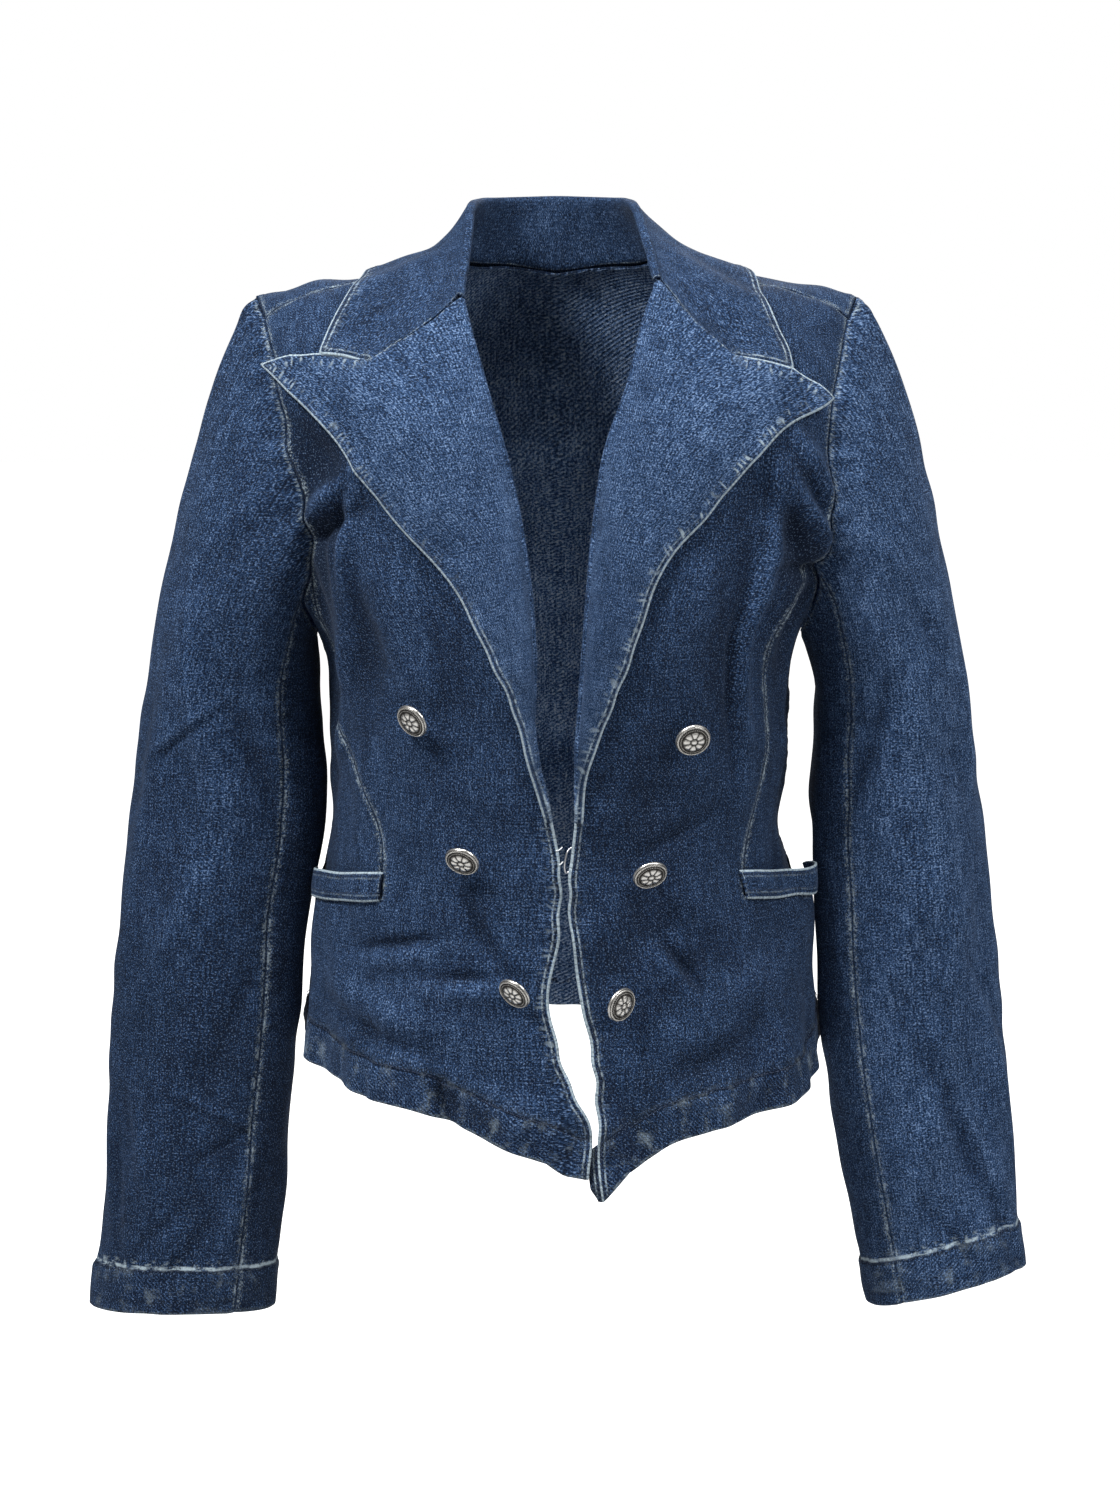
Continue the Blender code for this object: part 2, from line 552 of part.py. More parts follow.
def body_block(places, walls):
    """Points, normals and walls of a grid of places on the body."""
    turn, v = places[..., 0], places[..., 1]
    return {"points": body(turn, v), "normals": body_normal(turn, v),
            "walls": np.broadcast_to(np.asarray(walls, float), turn.shape)}


def hem_walls(rows, columns):
    """Wall of each point of a panel: double up to the stitch line, single above."""
    walls = np.full((rows, columns), CLOTH)
    walls[:2] = FOLDED
    return walls


# ------------------------------------------------------------------ body panels
def front_seam_rows(name):
    """Places up the outer edge of a front: hem, princess seam and armhole."""
    side, seam = SIDES[name], FRONT_SEAM[name]
    turn = side * smooth(-0.5, seam["v"], seam["turn"])
    below = seam_place(side, seam, hem_rows(side, turn, SEAM_ROWS))
    stations = np.arange(FRONT_STATION, SHOULDER_STATION - 1, -1)
    return np.concatenate([below, armhole_place(side, stations)])


def front_edge_rows(name):
    """Places up the free edge of a front, from the hem's corner to the gorge."""
    edge = FRONT_EDGE[name]
    low = edge["height"][0]
    heights = np.concatenate([[low, low + HEM_DEPTH, low + HEM_DEPTH + HEM_STEP], EDGE_ROWS,
                              [edge["height"][-1]]])
    return front_place(smooth(heights, edge["height"], edge["across"]), heights)


def front_top(name):
    """Places along the top of a front: shoulder seam, then neckline down to the gorge."""
    side = SIDES[name]
    seam = shoulder_place(side, np.linspace(0, 1, SHOULDER_COLUMNS + 1))
    return np.concatenate([seam, neck_place(side, np.arange(SIDE_NECK - 1, -1, -1))])


def hem_line(side, start, end, count):
    """Places along the hem between two turns."""
    turn = np.linspace(start, end, count)
    return np.stack([turn, hem_v(side, turn)], -1)


def front_main(name):
    """Places of a front between its seam and its free edge."""
    outer, inner, top = front_seam_rows(name), front_edge_rows(name), front_top(name)
    bottom = hem_line(SIDES[name], outer[0, 0], inner[0, 0], len(top))
    bottom[0], bottom[-1] = outer[0], inner[0]
    top[0], top[-1] = outer[-1], inner[-1]
    return patch(bottom, top, outer, inner)


def side_seam_rows(side):
    """Places up the side seam: hem, pocket level, underarm."""
    return seam_place(side, SIDE_SEAM, hem_rows(side, 93.0, SIDE_ROWS + [UNDERARM_V]))


def lower_side(name):
    """Places of the lower front between the pocket's end and the side seam."""
    side = SIDES[name]
    inner = front_seam_rows(name)[:POCKET_ROW + 1]
    outer = side_seam_rows(side)[:POCKET_ROW + 1]
    bottom = hem_line(side, inner[0, 0], outer[0, 0], POCKET_COLUMNS + 1)
    bottom[0], bottom[-1] = inner[0], outer[0]
    top = np.linspace(inner[-1], outer[-1], POCKET_COLUMNS + 1)
    return patch(bottom, top, inner, outer)


def gape(name, turn, v):
    """How far the lower front stands out from the body at the pocket's mouth."""
    side = SIDES[name]
    start = smooth(v, FRONT_SEAM[name]["v"], FRONT_SEAM[name]["turn"])
    share = np.clip((side * turn - start) / (92.0 - start), 0, 1)
    return GAPE[name] * np.sin(np.pi * share ** 2) ** 2 * ease(v, GAPE_FOOT, POCKET_BACK + 0.005)


def build_front(name):
    """Front: main part and the lower side part under the pocket, in one piece."""
    main = front_main(name)
    lower = lower_side(name)
    blocks = [body_block(main, hem_walls(*main.shape[:2])),
              body_block(lower, hem_walls(*lower.shape[:2]))]
    out = gape(name, lower[..., 0], lower[..., 1])
    blocks[1]["points"] = blocks[1]["points"] + blocks[1]["normals"] * out[..., None]
    cloth_solid("front_" + name, merged(blocks))


def build_side_front(name):
    """Side front: from the princess seam to the side seam, its foot tucked behind the welt."""
    side = SIDES[name]
    inner_seam = front_seam_rows(name)[POCKET_ROW + 1:ARMHOLE_ROW + 1]
    outer_seam = side_seam_rows(side)[POCKET_ROW + 1:]
    foot = np.array([POCKET_BACK, POCKET_TOP - TUCK_RISE])
    tucked = seam_place(side, FRONT_SEAM[name], foot) + np.array([side * TUCK_TURN, 0.0])
    inner = np.concatenate([tucked, inner_seam])
    outer = np.concatenate([seam_place(side, SIDE_SEAM, foot - POCKET_DROP), outer_seam])
    stations = np.arange(FRONT_STATION, SIDE_STATION + 1)
    bottom = np.linspace(inner[0], outer[0], len(stations))
    places = patch(bottom, armhole_place(side, stations), inner, outer)
    block = body_block(places, CLOTH)
    tuck = np.zeros(places.shape[:2])
    tuck[:2] = TUCK
    block["points"] = block["points"] - block["normals"] * tuck[..., None]
    cloth_solid("side_front_" + name, merged([block]))


def build_side_back(name):
    """Side back: from the side seam round to the back's seam."""
    side = SIDES[name]
    seam = side_seam_rows(side)
    back = back_seam_rows(side)[:len(seam)]
    stations = np.arange(SIDE_STATION, BACK_STATION + 1)
    bottom = hem_line(side, seam[0, 0], back[0, 0], len(stations))
    bottom[0], bottom[-1] = seam[0], back[0]
    places = patch(bottom, armhole_place(side, stations), seam, back)
    block = body_block(places, hem_walls(*places.shape[:2]))
    cloth_solid("side_back_" + name, merged([block]))


def back_seam_rows(side):
    """Places up the edge of the back: hem, back seam, armhole and over the ridge."""
    turn = side * BACK_SEAM["turn"][0]
    top = BACK_SEAM["v"][-1]
    above = np.linspace(-0.440, top, len(SEAM_ROWS) + 1)
    below = seam_place(side, BACK_SEAM, hem_rows(side, turn, above))
    below[-1] = armhole_place(side, BACK_STATION)
    upper = armhole_place(side, np.arange(BACK_STATION + 1, STATIONS + 1))
    return np.concatenate([below, upper, [from_back(shoulder_place(side, 0.0))]])


def build_back():
    """Back: between the back seams, over the shoulders to the shoulder seams."""
    edges, tops = {}, {}
    for name, side in SIDES.items():
        edges[name] = back_seam_rows(side)
        seam = from_back(shoulder_place(side, np.linspace(0, 1, SHOULDER_COLUMNS + 1)))
        tops[name] = np.concatenate([seam, neck_place(side, np.arange(SIDE_NECK + 1, 9))])
    left, right = edges["left"], edges["right"]
    right[:, 0] += 360.0
    tops["right"][:, 0] += 360.0
    tops["left"][-1, 0] = tops["right"][-1, 0] = 180.0
    top = np.concatenate([tops["left"], tops["right"][::-1][1:]])
    half = len(tops["left"])
    bottom = np.concatenate([hem_line(1.0, left[0, 0], 180.0, half),
                             hem_line(-1.0, 180.0, 360.0 - right[0, 0], half)[1:]])
    bottom[half:, 0] = np.linspace(180.0, right[0, 0], half)[1:]
    bottom[0], bottom[-1] = left[0], right[0]
    top[0], top[-1] = left[-1], right[-1]
    places = patch(bottom, top, left, right)
    cloth_solid("back", merged([body_block(places, hem_walls(*places.shape[:2]))]))


# ------------------------------------------------------------------ lapels and collar
def lapel_top(name, steps):
    """Places along the gorge seam and the lapel's upper edge."""
    line = LAPEL_TOP[name]
    steps = np.asarray(steps, float)
    return front_place(np.interp(steps, line["step"], line["across"]),
                       np.interp(steps, line["step"], line["height"]))


def gorge_lift(steps):
    """Height of the lapel and collar above the front along the gorge."""
    return smooth(steps, GORGE_LIFT["step"], GORGE_LIFT["lift"])


def build_lapel(name):
    """Lapel: the front's facing turned out along the roll line, lying on the front."""
    roll = front_edge_rows(name)[BREAK_ROW:]
    edge = LAPEL_EDGE[name]
    heights = np.linspace(edge["height"][0], edge["height"][-1], len(roll))
    outer = front_place(smooth(heights, edge["height"], edge["across"]), heights)
    steps = np.arange(TIP_STEP + 1)
    top = lapel_top(name, steps)
    bottom = np.linspace(roll[0], outer[0], len(steps))
    roll[-1, 1] -= LAPEL_CORNER
    top[0], top[-1] = roll[-1], outer[-1]
    places = patch(bottom, top, roll, outer)
    s = np.linspace(0, 1, len(steps))[None]
    t = np.linspace(0, 1, len(roll))[:, None]
    width = ease(t, 0.0, 0.5)
    lying = ROLL_LIFT + width * (LAPEL_BELLY * np.sin(np.pi * s ** 0.7) + EDGE_LIFT * s)
    near_top = ease(t, 0.8, 1.0)
    lift = lying * (1 - near_top) + gorge_lift(steps)[None] * near_top
    turn, v = places[..., 0], places[..., 1]
    normals = form_normal(turn, v)
    points = body_form(turn, v) + normals * lift[..., None]
    cloth_solid("lapel_" + name, sheet(points, normals, LAPEL_WALL), FACING)


def push_out(points, clearance):
    """Points moved off the shoulders until they clear them by the given distance."""
    x, y, z = points[..., 0], points[..., 1], points[..., 2]
    share = np.clip(np.abs(x) / ring(ARCH_FOOT, "half_width"), 0, 1)
    width = (1 - share ** ROUND) ** (1 / ROUND)
    depth = width * np.where(y < 0, ring(ARCH_FOOT, "front"), ring(ARCH_FOOT, "back"))
    rise = ridge(x) - ARCH_FOOT
    reach = np.hypot(y / depth, (z - ARCH_FOOT) / rise)
    wanted = 1 + clearance / np.hypot(y, z - ARCH_FOOT)
    scale = np.where(reach < wanted, wanted / reach, 1.0)
    return np.stack([x, y * scale, ARCH_FOOT + (z - ARCH_FOOT) * scale], -1)


def collar_half(name):
    """Grid of one half of the collar: a row per station, columns from the neck seam over the
    fold to the outer edge."""
    side = SIDES[name]
    stations = np.arange(9)
    places = neck_place(side, np.maximum(stations, NECK_START))
    seam_normals = body_normal(places[:, 0], places[:, 1])
    seam = body(places[:, 0], places[:, 1]) + seam_normals * COLLAR_FOOT
    sizes = COLLAR[name]
    fold = np.stack([side * sizes["fold_x"], sizes["fold_y"], sizes["fold_z"]], -1)
    edge_places = arch_place(side, sizes["edge_x"], sizes["edge_turn"])
    edge_places[0] = lapel_top(name, [NOTCH_STEP])[0]
    edge_lift = np.full(9, COLLAR_LIFT[name])
    edge_lift[0] = gorge_lift(NOTCH_STEP)
    edge_lift[1] = (edge_lift[0] + edge_lift[2]) / 2
    edge = (body_form(edge_places[:, 0], edge_places[:, 1])
            + form_normal(edge_places[:, 0], edge_places[:, 1]) * edge_lift[:, None])
    # the fold is a half circle square to the fold line, opening downwards
    tangent = unit(np.gradient(fold, axis=0))
    tangent[-1] = np.array([-side, 0.0, 0.0])
    across = unit(np.cross(tangent, np.array([0.0, 0.0, 1.0]))) * side
    across *= np.sign((across * (edge - fold)).sum(-1, keepdims=True))
    up = np.array([0.0, 0.0, 1.0])
    turns = np.radians([180.0, 120.0, 60.0, 0.0])[None, :, None]
    arc = (fold[:, None] + across[:, None] * FOLD_RADIUS * np.cos(turns)
           + up * FOLD_RADIUS * (np.sin(turns) - 1))
    share = np.linspace(0, 1, 4)[None, :, None]
    stand = seam[:, None] * (1 - share) + arc[:, :1] * share
    # the fall drops from the fold towards the neck seam, then runs out along the shoulder
    above_seam = seam + seam_normals * COLLAR_LIFT[name]
    leave = arc[:, 3] + FALL_PULL[name] * (above_seam - arc[:, 3])
    arrive = edge + FALL_PULL[name] * (above_seam - edge)
    t = np.linspace(0, 1, NOTCH_STEP + 1)[None, :, None]
    fall = ((1 - t) ** 3 * arc[:, 3:4] + 3 * (1 - t) ** 2 * t * leave[:, None]
            + 3 * (1 - t) * t ** 2 * arrive[:, None] + t ** 3 * edge[:, None])
    steps = np.arange(NOTCH_STEP + 1)
    end_places = lapel_top(name, steps)
    end_normals = form_normal(end_places[:, 0], end_places[:, 1])
    end = (body_form(end_places[:, 0], end_places[:, 1])
           + end_normals * gorge_lift(steps)[:, None])
    hold = (1 - ease(stations, 0, 3.0))[:, None, None]
    end[0] = arc[0, 3]
    fall = push_out(fall + hold * (end - fall[0])[None], COLLAR_LIFT[name])
    fall[0] = end
    grid = np.concatenate([stand[:, :-1], arc[:, :-1], fall], axis=1)
    return grid, end_normals


def grid_normals(points):
    """Normals of a grid from the steps between its neighbours."""
    return unit(np.cross(np.gradient(points, axis=1), np.gradient(points, axis=0)))


def build_collar():
    """Collar: stand inside the neck, fold, and fall lying on the shoulders."""
    left, left_end = collar_half("left")
    right, right_end = collar_half("right")
    grid = np.concatenate([left, right[::-1][1:]])
    middle = len(left) - 1
    grid[middle, :, 0] = 0.0
    normals = grid_normals(grid)
    if normals[middle, -1, 1] < 0:
        normals = -normals
    start = grid.shape[1] - len(left_end)
    normals[0, start + 1:] = left_end[1:]
    normals[-1, start + 1:] = right_end[1:]
    cloth_solid("collar", sheet(grid, normals, COLLAR_WALL), FACING)


# ------------------------------------------------------------------ pockets
def build_welt(name):
    """Pocket welt: a band that stands over the mouth of the pocket."""
    side = SIDES[name]
    start = smooth(POCKET_SEAM, FRONT_SEAM[name]["v"], FRONT_SEAM[name]["turn"])
    end = smooth(POCKET_SEAM - POCKET_DROP, SIDE_SEAM["v"], SIDE_SEAM["turn"])
    turn = side * np.linspace(start, end, POCKET_COLUMNS + 1)[:-1]
    turn[0] += side * WELT_INSET
    rows = np.array([POCKET_SEAM - WELT_FOOT, (POCKET_SEAM + POCKET_TOP) / 2, POCKET_TOP])
    turns, heights = np.meshgrid(turn, rows)
    heights = heights - POCKET_DROP * (np.abs(turns) - start) / (end - start)
    share = np.linspace(0, 1, 3)[:, None]
    mouth = gape(name, turns, np.full_like(heights, POCKET_SEAM))
    lift = CLOTH / 2 + WELT_WALL / 2 + WELT_CLEAR + mouth * (1 + WELT_LEAN * share)
    normals = body_normal(turns, heights)
    points = body(turns, heights) + normals * lift[..., None]
    cloth_solid("welt_" + name, sheet(points, normals, WELT_WALL), FACING)


# ------------------------------------------------------------------ sleeves
def sleeve_relief(name, turn, height):
    """Height of the sleeve's folds."""
    total = np.zeros(np.broadcast(turn, height).shape)
    for row in zip(*SLEEVE_FOLDS[name].values()):
        turn_0, height_0, slope, length, width, depth = row
        along = height - height_0
        offset = (turn - turn_0 - slope * along + 180.0) % 360.0 - 180.0
        across = np.radians(offset) * SLEEVE_RADIUS
        total = total + depth * np.exp(-(across / width) ** 2 - (2 * along / length) ** 2)
    return total * ease(-height, 0.25, 0.32)


def sleeve_rings(name, turn):
    """Points of the sleeve's rings at the given turns: rows are rings."""
    side, rings = SIDES[name], SLEEVE[name]
    centre = (rings["outer"] + rings["inner"]) / 2
    half = (rings["outer"] - rings["inner"]) / 2
    angle = np.radians(turn)[None]
    cosine = np.sign(np.cos(angle)) * np.abs(np.cos(angle)) ** SLEEVE_SQUARE
    sine = np.sign(np.sin(angle)) * np.abs(np.sin(angle)) ** SLEEVE_SQUARE
    out = sleeve_relief(name, turn[None], rings["height"][:, None])
    x = centre[:, None] + (half[:, None] + out) * cosine
    y = -rings["forward"][:, None] - (rings["depth"][:, None] + out) * sine
    z = rings["height"][:, None] + rings["tilt"][:, None] * (x - centre[:, None])
    return np.stack([side * x, y, z], -1)


def build_sleeve(name):
    """Sleeve: a cap that leaves the armhole and falls to a tube, split at its two seams."""
    side = SIDES[name]
    stations = np.arange(STATIONS)
    turn = np.interp(stations, SLEEVE_TURN["station"], SLEEVE_TURN["turn"])
    places = armhole_place(side, stations)
    seam, seam_normals = body(places[:, 0], places[:, 1]), body_normal(places[:, 0], places[:, 1])
    along = unit(np.roll(seam, -1, axis=0) - np.roll(seam, 1, axis=0))
    outward = np.cross(along, seam_normals)
    outward *= np.sign((outward[0] * [side, 0, 0]).sum())
    under = ease(np.abs(stations - SIDE_STATION), UNDERARM_SPAN, 1.0)[:, None]
    start = (seam + outward * (SLEEVE_GAP - SEAM_GAP * under)
             + seam_normals * UNDERARM_LIFT * under)
    rings = sleeve_rings(name, turn)
    angle = np.radians(turn)
    out, out_more, forward, down, down_less = CAP_LEAVE
    leave = unit(np.stack([side * (out + out_more * np.cos(angle)), forward * np.sin(angle),
                           down + down_less * np.cos(angle)], -1))
    leave = leave * CAP_FULLNESS[name]
    reach = np.linalg.norm(rings[0] - start, axis=1)[:, None]
    arrive = unit(rings[1] - rings[0])
    t = np.array(HEAD_STEPS)[:, None, None]
    head = ((1 + 2 * t) * (1 - t) ** 2 * start[None] + t * (1 - t) ** 2 * (reach * leave)
            + (3 - 2 * t) * t ** 2 * rings[0][None] + t ** 2 * (t - 1) * (reach * arrive))
    step = unit(rings[-1] - rings[-2]) * HEM_STEP
    grid = np.concatenate([head, rings[:-2], rings[-2:-1] - step, rings[-2:]])
    ring_grid = np.concatenate([grid[:, -1:], grid, grid[:, :1]], axis=1)
    normals = grid_normals(ring_grid)[:, 1:-1]
    if (normals[-1, 0] * [side, 0, 0]).sum() < 0:
        normals = -normals
    own = ease(np.abs(stations - SIDE_STATION), 7.0, 2.0)[:, None]
    normals[0] = unit(seam_normals * (1 - own) + normals[0] * own)
    walls = np.full(grid.shape[:2], CLOTH)
    walls[-2:] = FOLDED
    upper = np.arange(SLEEVE_BACK, STATIONS + SLEEVE_FRONT + 1) % STATIONS
    lower = np.arange(SLEEVE_FRONT, SLEEVE_BACK + 1)
    for label, columns in (("sleeve_upper_", upper), ("sleeve_under_", lower)):
        cloth_solid(label + name, sheet(grid[:, columns], normals[:, columns],
                                        walls[:, columns]), shrink=SLEEVE_GAP / 2)


# ------------------------------------------------------------------ buttons and hook
def lathe(centres, axes, radii, helper, around=16):
    """Rings of points round a bending axis, capped at both ends, and the faces between them.

    The helper is any direction that the axis never takes.
    """
    first = unit(np.cross(axes, helper))
    second = np.cross(axes, first)
    angle = np.linspace(0, 2 * np.pi, around, endpoint=False)[None, :, None]
    rings = centres[:, None] + radii[:, None, None] * (first[:, None] * np.cos(angle)
                                                       + second[:, None] * np.sin(angle))
    points = np.concatenate([rings.reshape(-1, 3), centres[:1], centres[-1:]])
    low = np.arange(around)
    high, step = low + (len(centres) - 1) * around, np.roll(low, -1)
    start = np.full(around, len(points) - 2)
    faces = [grid_faces(len(centres), around, closed=True),
             np.stack([low, start, step], -1),
             np.stack([high, high[0] + step, start + 1], -1)]
    return points, np.concatenate(faces)


BUTTON_PROFILE = table("height radius", [
    (0.0000, 0.35), (0.0006, 0.93), (0.0012, 1.00), (0.0022, 0.98), (0.0027, 0.90),
    (0.0024, 0.80), (0.0034, 0.66), (0.0046, 0.40), (0.0050, 0.14)])


def build_button(number, across, height, face_x, face_z, thread):
    """Shank button: a domed disc with a raised rim, hanging on a stem that bends to it."""
    place = front_place(np.array(across), np.array(height))
    base, normal = body(place[0], place[1]), body_normal(place[0], place[1])
    axis = unit(np.array([face_x, -1.0, face_z]))
    foot = base + normal * (CLOTH / 2 + thread)
    seat = foot + normal * BUTTON_STEM
    stem_share = np.linspace(0, 1, 4)[:, None]
    stem = foot * (1 - stem_share) + (seat - axis * STEM_OVERLAP) * stem_share
    stem_axes = unit(normal * (1 - stem_share) + axis * stem_share)
    disc = seat + axis * BUTTON_PROFILE["height"][:, None]
    centres = np.concatenate([stem, disc])
    axes = np.concatenate([stem_axes, np.repeat(axis[None], len(disc), 0)])
    radii = np.concatenate([STEM_RADII, BUTTON_PROFILE["radius"] * BUTTON_RADIUS])
    points, faces = lathe(centres, axes, radii, np.array([0.0, 0.0, 1.0]))
    add_object("button_%d" % number, points, faces, SILVER, 0.35, 0.9)


# hook: how far each point of the wire lies past the front's edge, and behind the cloth's middle
HOOK_ROUTE = table("past behind height", [
    (-0.0060, 0.0016, -0.3345), (-0.0010, 0.0016, -0.3350), (0.0020, 0.0012, -0.3362),
    (0.0036, 0.0000, -0.3390), (0.0042, -0.0006, -0.3440), (0.0038, -0.0002, -0.3490),
    (0.0024, 0.0008, -0.3512), (-0.0005, 0.0015, -0.3490), (-0.0060, 0.0016, -0.3460)])


def build_hook():
    """Waist hook: a bent wire behind the left front that reaches past its edge."""
    edge = FRONT_EDGE["left"]
    heights = HOOK_ROUTE["height"]
    across = smooth(heights, edge["height"], edge["across"])
    place = front_place(across, heights)
    points = body(place[:, 0], place[:, 1])
    route = points + np.stack([-HOOK_ROUTE["past"], HOOK_ROUTE["behind"], 0 * heights], -1)
    radii = np.full(len(route), HOOK_WIRE)
    points, faces = lathe(route, unit(np.gradient(route, axis=0)), radii,
                          np.array([0.0, 1.0, 0.0]), around=8)
    add_object("hook", points, faces, SILVER, 0.3, 1.0)


def main():
    """Build every piece of the blazer."""
    for old in list(bpy.data.objects):
        bpy.data.objects.remove(old)
    for name in SIDES:
        build_front(name)
        build_side_front(name)
        build_side_back(name)
        build_lapel(name)
        build_welt(name)
        build_sleeve(name)
    build_back()
    build_collar()
    for number, row in enumerate(zip(*BUTTONS.values()), start=1):
        build_button(number, *row)
    build_hook()


main()
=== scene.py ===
"""Cropped denim blazer: detailed cloth, seams, stitches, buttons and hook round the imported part.

Every panel is a thin shell on its solid's own curve.  +Z is up, the fronts face -Y, the wearer's
left is +X.  Lengths are in metres, but those that table() and both() read are in millimetres.
"""

import bpy
import numpy as np
from bpy.props import FloatProperty, FloatVectorProperty, PointerProperty
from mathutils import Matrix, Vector


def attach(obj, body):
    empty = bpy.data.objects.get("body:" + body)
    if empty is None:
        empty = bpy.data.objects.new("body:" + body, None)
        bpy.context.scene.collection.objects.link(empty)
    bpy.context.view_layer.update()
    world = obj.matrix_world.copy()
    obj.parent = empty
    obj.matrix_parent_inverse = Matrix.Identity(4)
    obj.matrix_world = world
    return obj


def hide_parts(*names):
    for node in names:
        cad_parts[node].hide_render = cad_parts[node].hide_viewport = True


bl_info = {
    "name": "Cropped denim blazer",
    "version": (1, 0, 0),
    "blender": (4, 5, 0),
    "location": "3D View > Sidebar > Blazer",
    "description": "Builds a cropped denim blazer with peak lapels from its panels",
    "category": "Add Mesh",
}

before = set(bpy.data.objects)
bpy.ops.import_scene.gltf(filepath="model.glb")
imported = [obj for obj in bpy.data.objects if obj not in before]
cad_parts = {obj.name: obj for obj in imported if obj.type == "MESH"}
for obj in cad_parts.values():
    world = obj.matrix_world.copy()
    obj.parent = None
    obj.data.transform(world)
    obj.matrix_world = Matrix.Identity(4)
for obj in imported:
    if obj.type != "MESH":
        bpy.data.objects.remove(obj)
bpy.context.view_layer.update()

SIDES = {"right": -1.0, "left": 1.0}
ROUND = 2.4                 # exponent of the body's rings: 2 is an ellipse, more is squarer
ARCH_FOOT = -0.120          # height where the body starts to arch over to the shoulder
ARCH_LENGTH = 0.170
RIDGE_V = ARCH_FOOT + ARCH_LENGTH
ARC_PER_DEGREE = 0.0023     # length of cloth round the body for one degree of turn
TURN_STEP = 0.4             # small steps, in degrees and along v, that give a surface's normal
V_STEP = 0.001
SEAM_GAP = 0.0003           # gap that the solids leave at a seam
HEM_DEPTH = 0.024           # from a hem's fold up to its stitch line, and on to the next row
HEM_STEP = 0.003
CUFF_DEPTH = 0.028
SHOULDER_BOW = 0.006        # how far the middle of a shoulder seam bows up

# pockets: height of mouth, seam and back at the princess seam, and their drop to the side seam
POCKET_TOP = -0.356
POCKET_SEAM = -0.371
POCKET_BACK = -0.386
POCKET_DROP = 0.014
TUCK = 0.0027               # how far the side front's foot lies behind the welt
TUCK_TURN = 1.2             # and how far it reaches aside and down
TUCK_RISE = 0.006
GAPE = {"right": 0.0035, "left": 0.0120}    # how far the mouth of each pocket stands open
GAPE_FOOT = -0.445
WELT_INSET = 0.25           # degrees from the princess seam to the end of a welt
WELT_FOOT = 0.002
WELT_LEAN = 0.35            # share by which the top of a gaping welt stands out further
WELT_WALL = 0.0018

# lapels and collar
ROLL_LIFT = 0.0031          # lapel above the front at the roll line
LAPEL_BELLY = 0.0045        # its bow between roll line and edge
EDGE_LIFT = 0.0025
LAPEL_CLEAR = 0.0026        # least height of a lapel over the front's creases, and its rounding
LAPEL_SOFT = 0.0006
LAPEL_CORNER = 0.0006       # how far the lapel's inner corner stops short of the collar
NECK_START = 0.3            # station where the collar's stand starts, just behind the lapel
COLLAR_LIFT = {"right": 0.0038, "left": 0.0044}
COLLAR_FOOT = 0.0027        # the stand's foot above the neck seam
FOLD_RADIUS = 0.0026
FACING_WALL = 0.0021        # thickness of lapels and collar
COLLAR_WALL = 0.0020        # thickness that lifts the collar's stitches
TURN_TOP = -0.518           # top and width of the strip of facing at the left front's foot
TURN_WIDTH = 0.0062
TURN_RUN = 0.008            # length over which it narrows at either end

# rows of stitches: distance from the edge
EDGE_STITCH = 0.0024
COLLAR_STITCH = 0.0056      # the collar's second row
WELT_STITCHES = {"welt_top_": 0.0020, "welt_foot_": 0.0125}

# small relief and wear of the cloth
CAP_GATHER = 0.0012         # height of the gathers at a sleeve's cap
EDGE_FLARE = 0.0018         # height of the waves of a front's free edge, and of a lapel's
LAPEL_FLARE = 0.0006
CUFF_RISE = 0.0015          # how far a cuff stands out below its stitch line
HEM_GROOVE = 0.0013         # depth of a hem's stitch line
RIDGE_SHADE = 0.6           # painted shade in a crease's hollow, and its crest lighter as wear and painted light
HOLLOW_SHADE = 1.9
FACING_RUB = 3.2            # how much narrower the rubs are along a facing's seams
WELT_RUB = 2.5              # and along the ends of a welt

# spacing of the points of lapels, collar and sleeves
LAPEL_CELL = 0.0024
COLLAR_CELL = 0.0026
SLEEVE_CELL = 0.0028
LINE_POINTS = 110           # points kept of a line that distances are measured from
BATCH = 6000                # points measured at a time

BUTTON_RADIUS = 0.0108
BUTTON_STEM = 0.0084        # length of a button's shank
MEDAL_HEIGHT = 0.0009       # height of the pattern on its face
HOOK_WIRE = 0.00055         # radius of the hook's wire
STUB_RADIUS = 0.00035


# columns of the tables that hold lengths, in millimetres; the rest are degrees, counts and shares
LENGTHS = """v height across half_width front back shift lift fold_x fold_y fold_z edge_x outer inner
             depth forward length width thread past behind up radius""".split()


def table(names, rows):
    """A short table with named columns, as a dictionary of arrays, with its lengths in metres."""
    columns = dict(zip(names.split(), np.array(rows, float).T))
    return {name: np.round(values / 1000, 7) if name in LENGTHS else values
            for name, values in columns.items()}


def both(names, right, left):
    """The tables of the two sides of the blazer."""
    return {"right": table(names, right), "left": table(names, left)}


# rings of the body, from below the hem up to the arch
BODY = table("height half_width front back shift", [
    (-600, 172, 126, 118, 6), (-540, 169, 125, 117, 6), (-485, 165, 122, 113, 4),
    (-430, 160, 117, 103, 3), (-390, 153.5, 113, 92, 1), (-345, 143.5, 112, 84, -1),
    (-285, 145, 119, 90, 2), (-235, 145.5, 126, 98, 2), (-210, 153, 128, 101, 1),
    (-180, 172, 127, 101, 0), (-150, 187, 124, 99, 0), (-120, 195, 121, 96, 0)])

# ridge line of the shoulders
RIDGE = table("across height", [
    (-30, 34.5), (0, 37.5), (30, 34.5), (50, 26), (70, 16.5), (90, 9.5), (120, 4), (150, 0.3),
    (170, -3.5), (190, -8.5), (210, -14)])

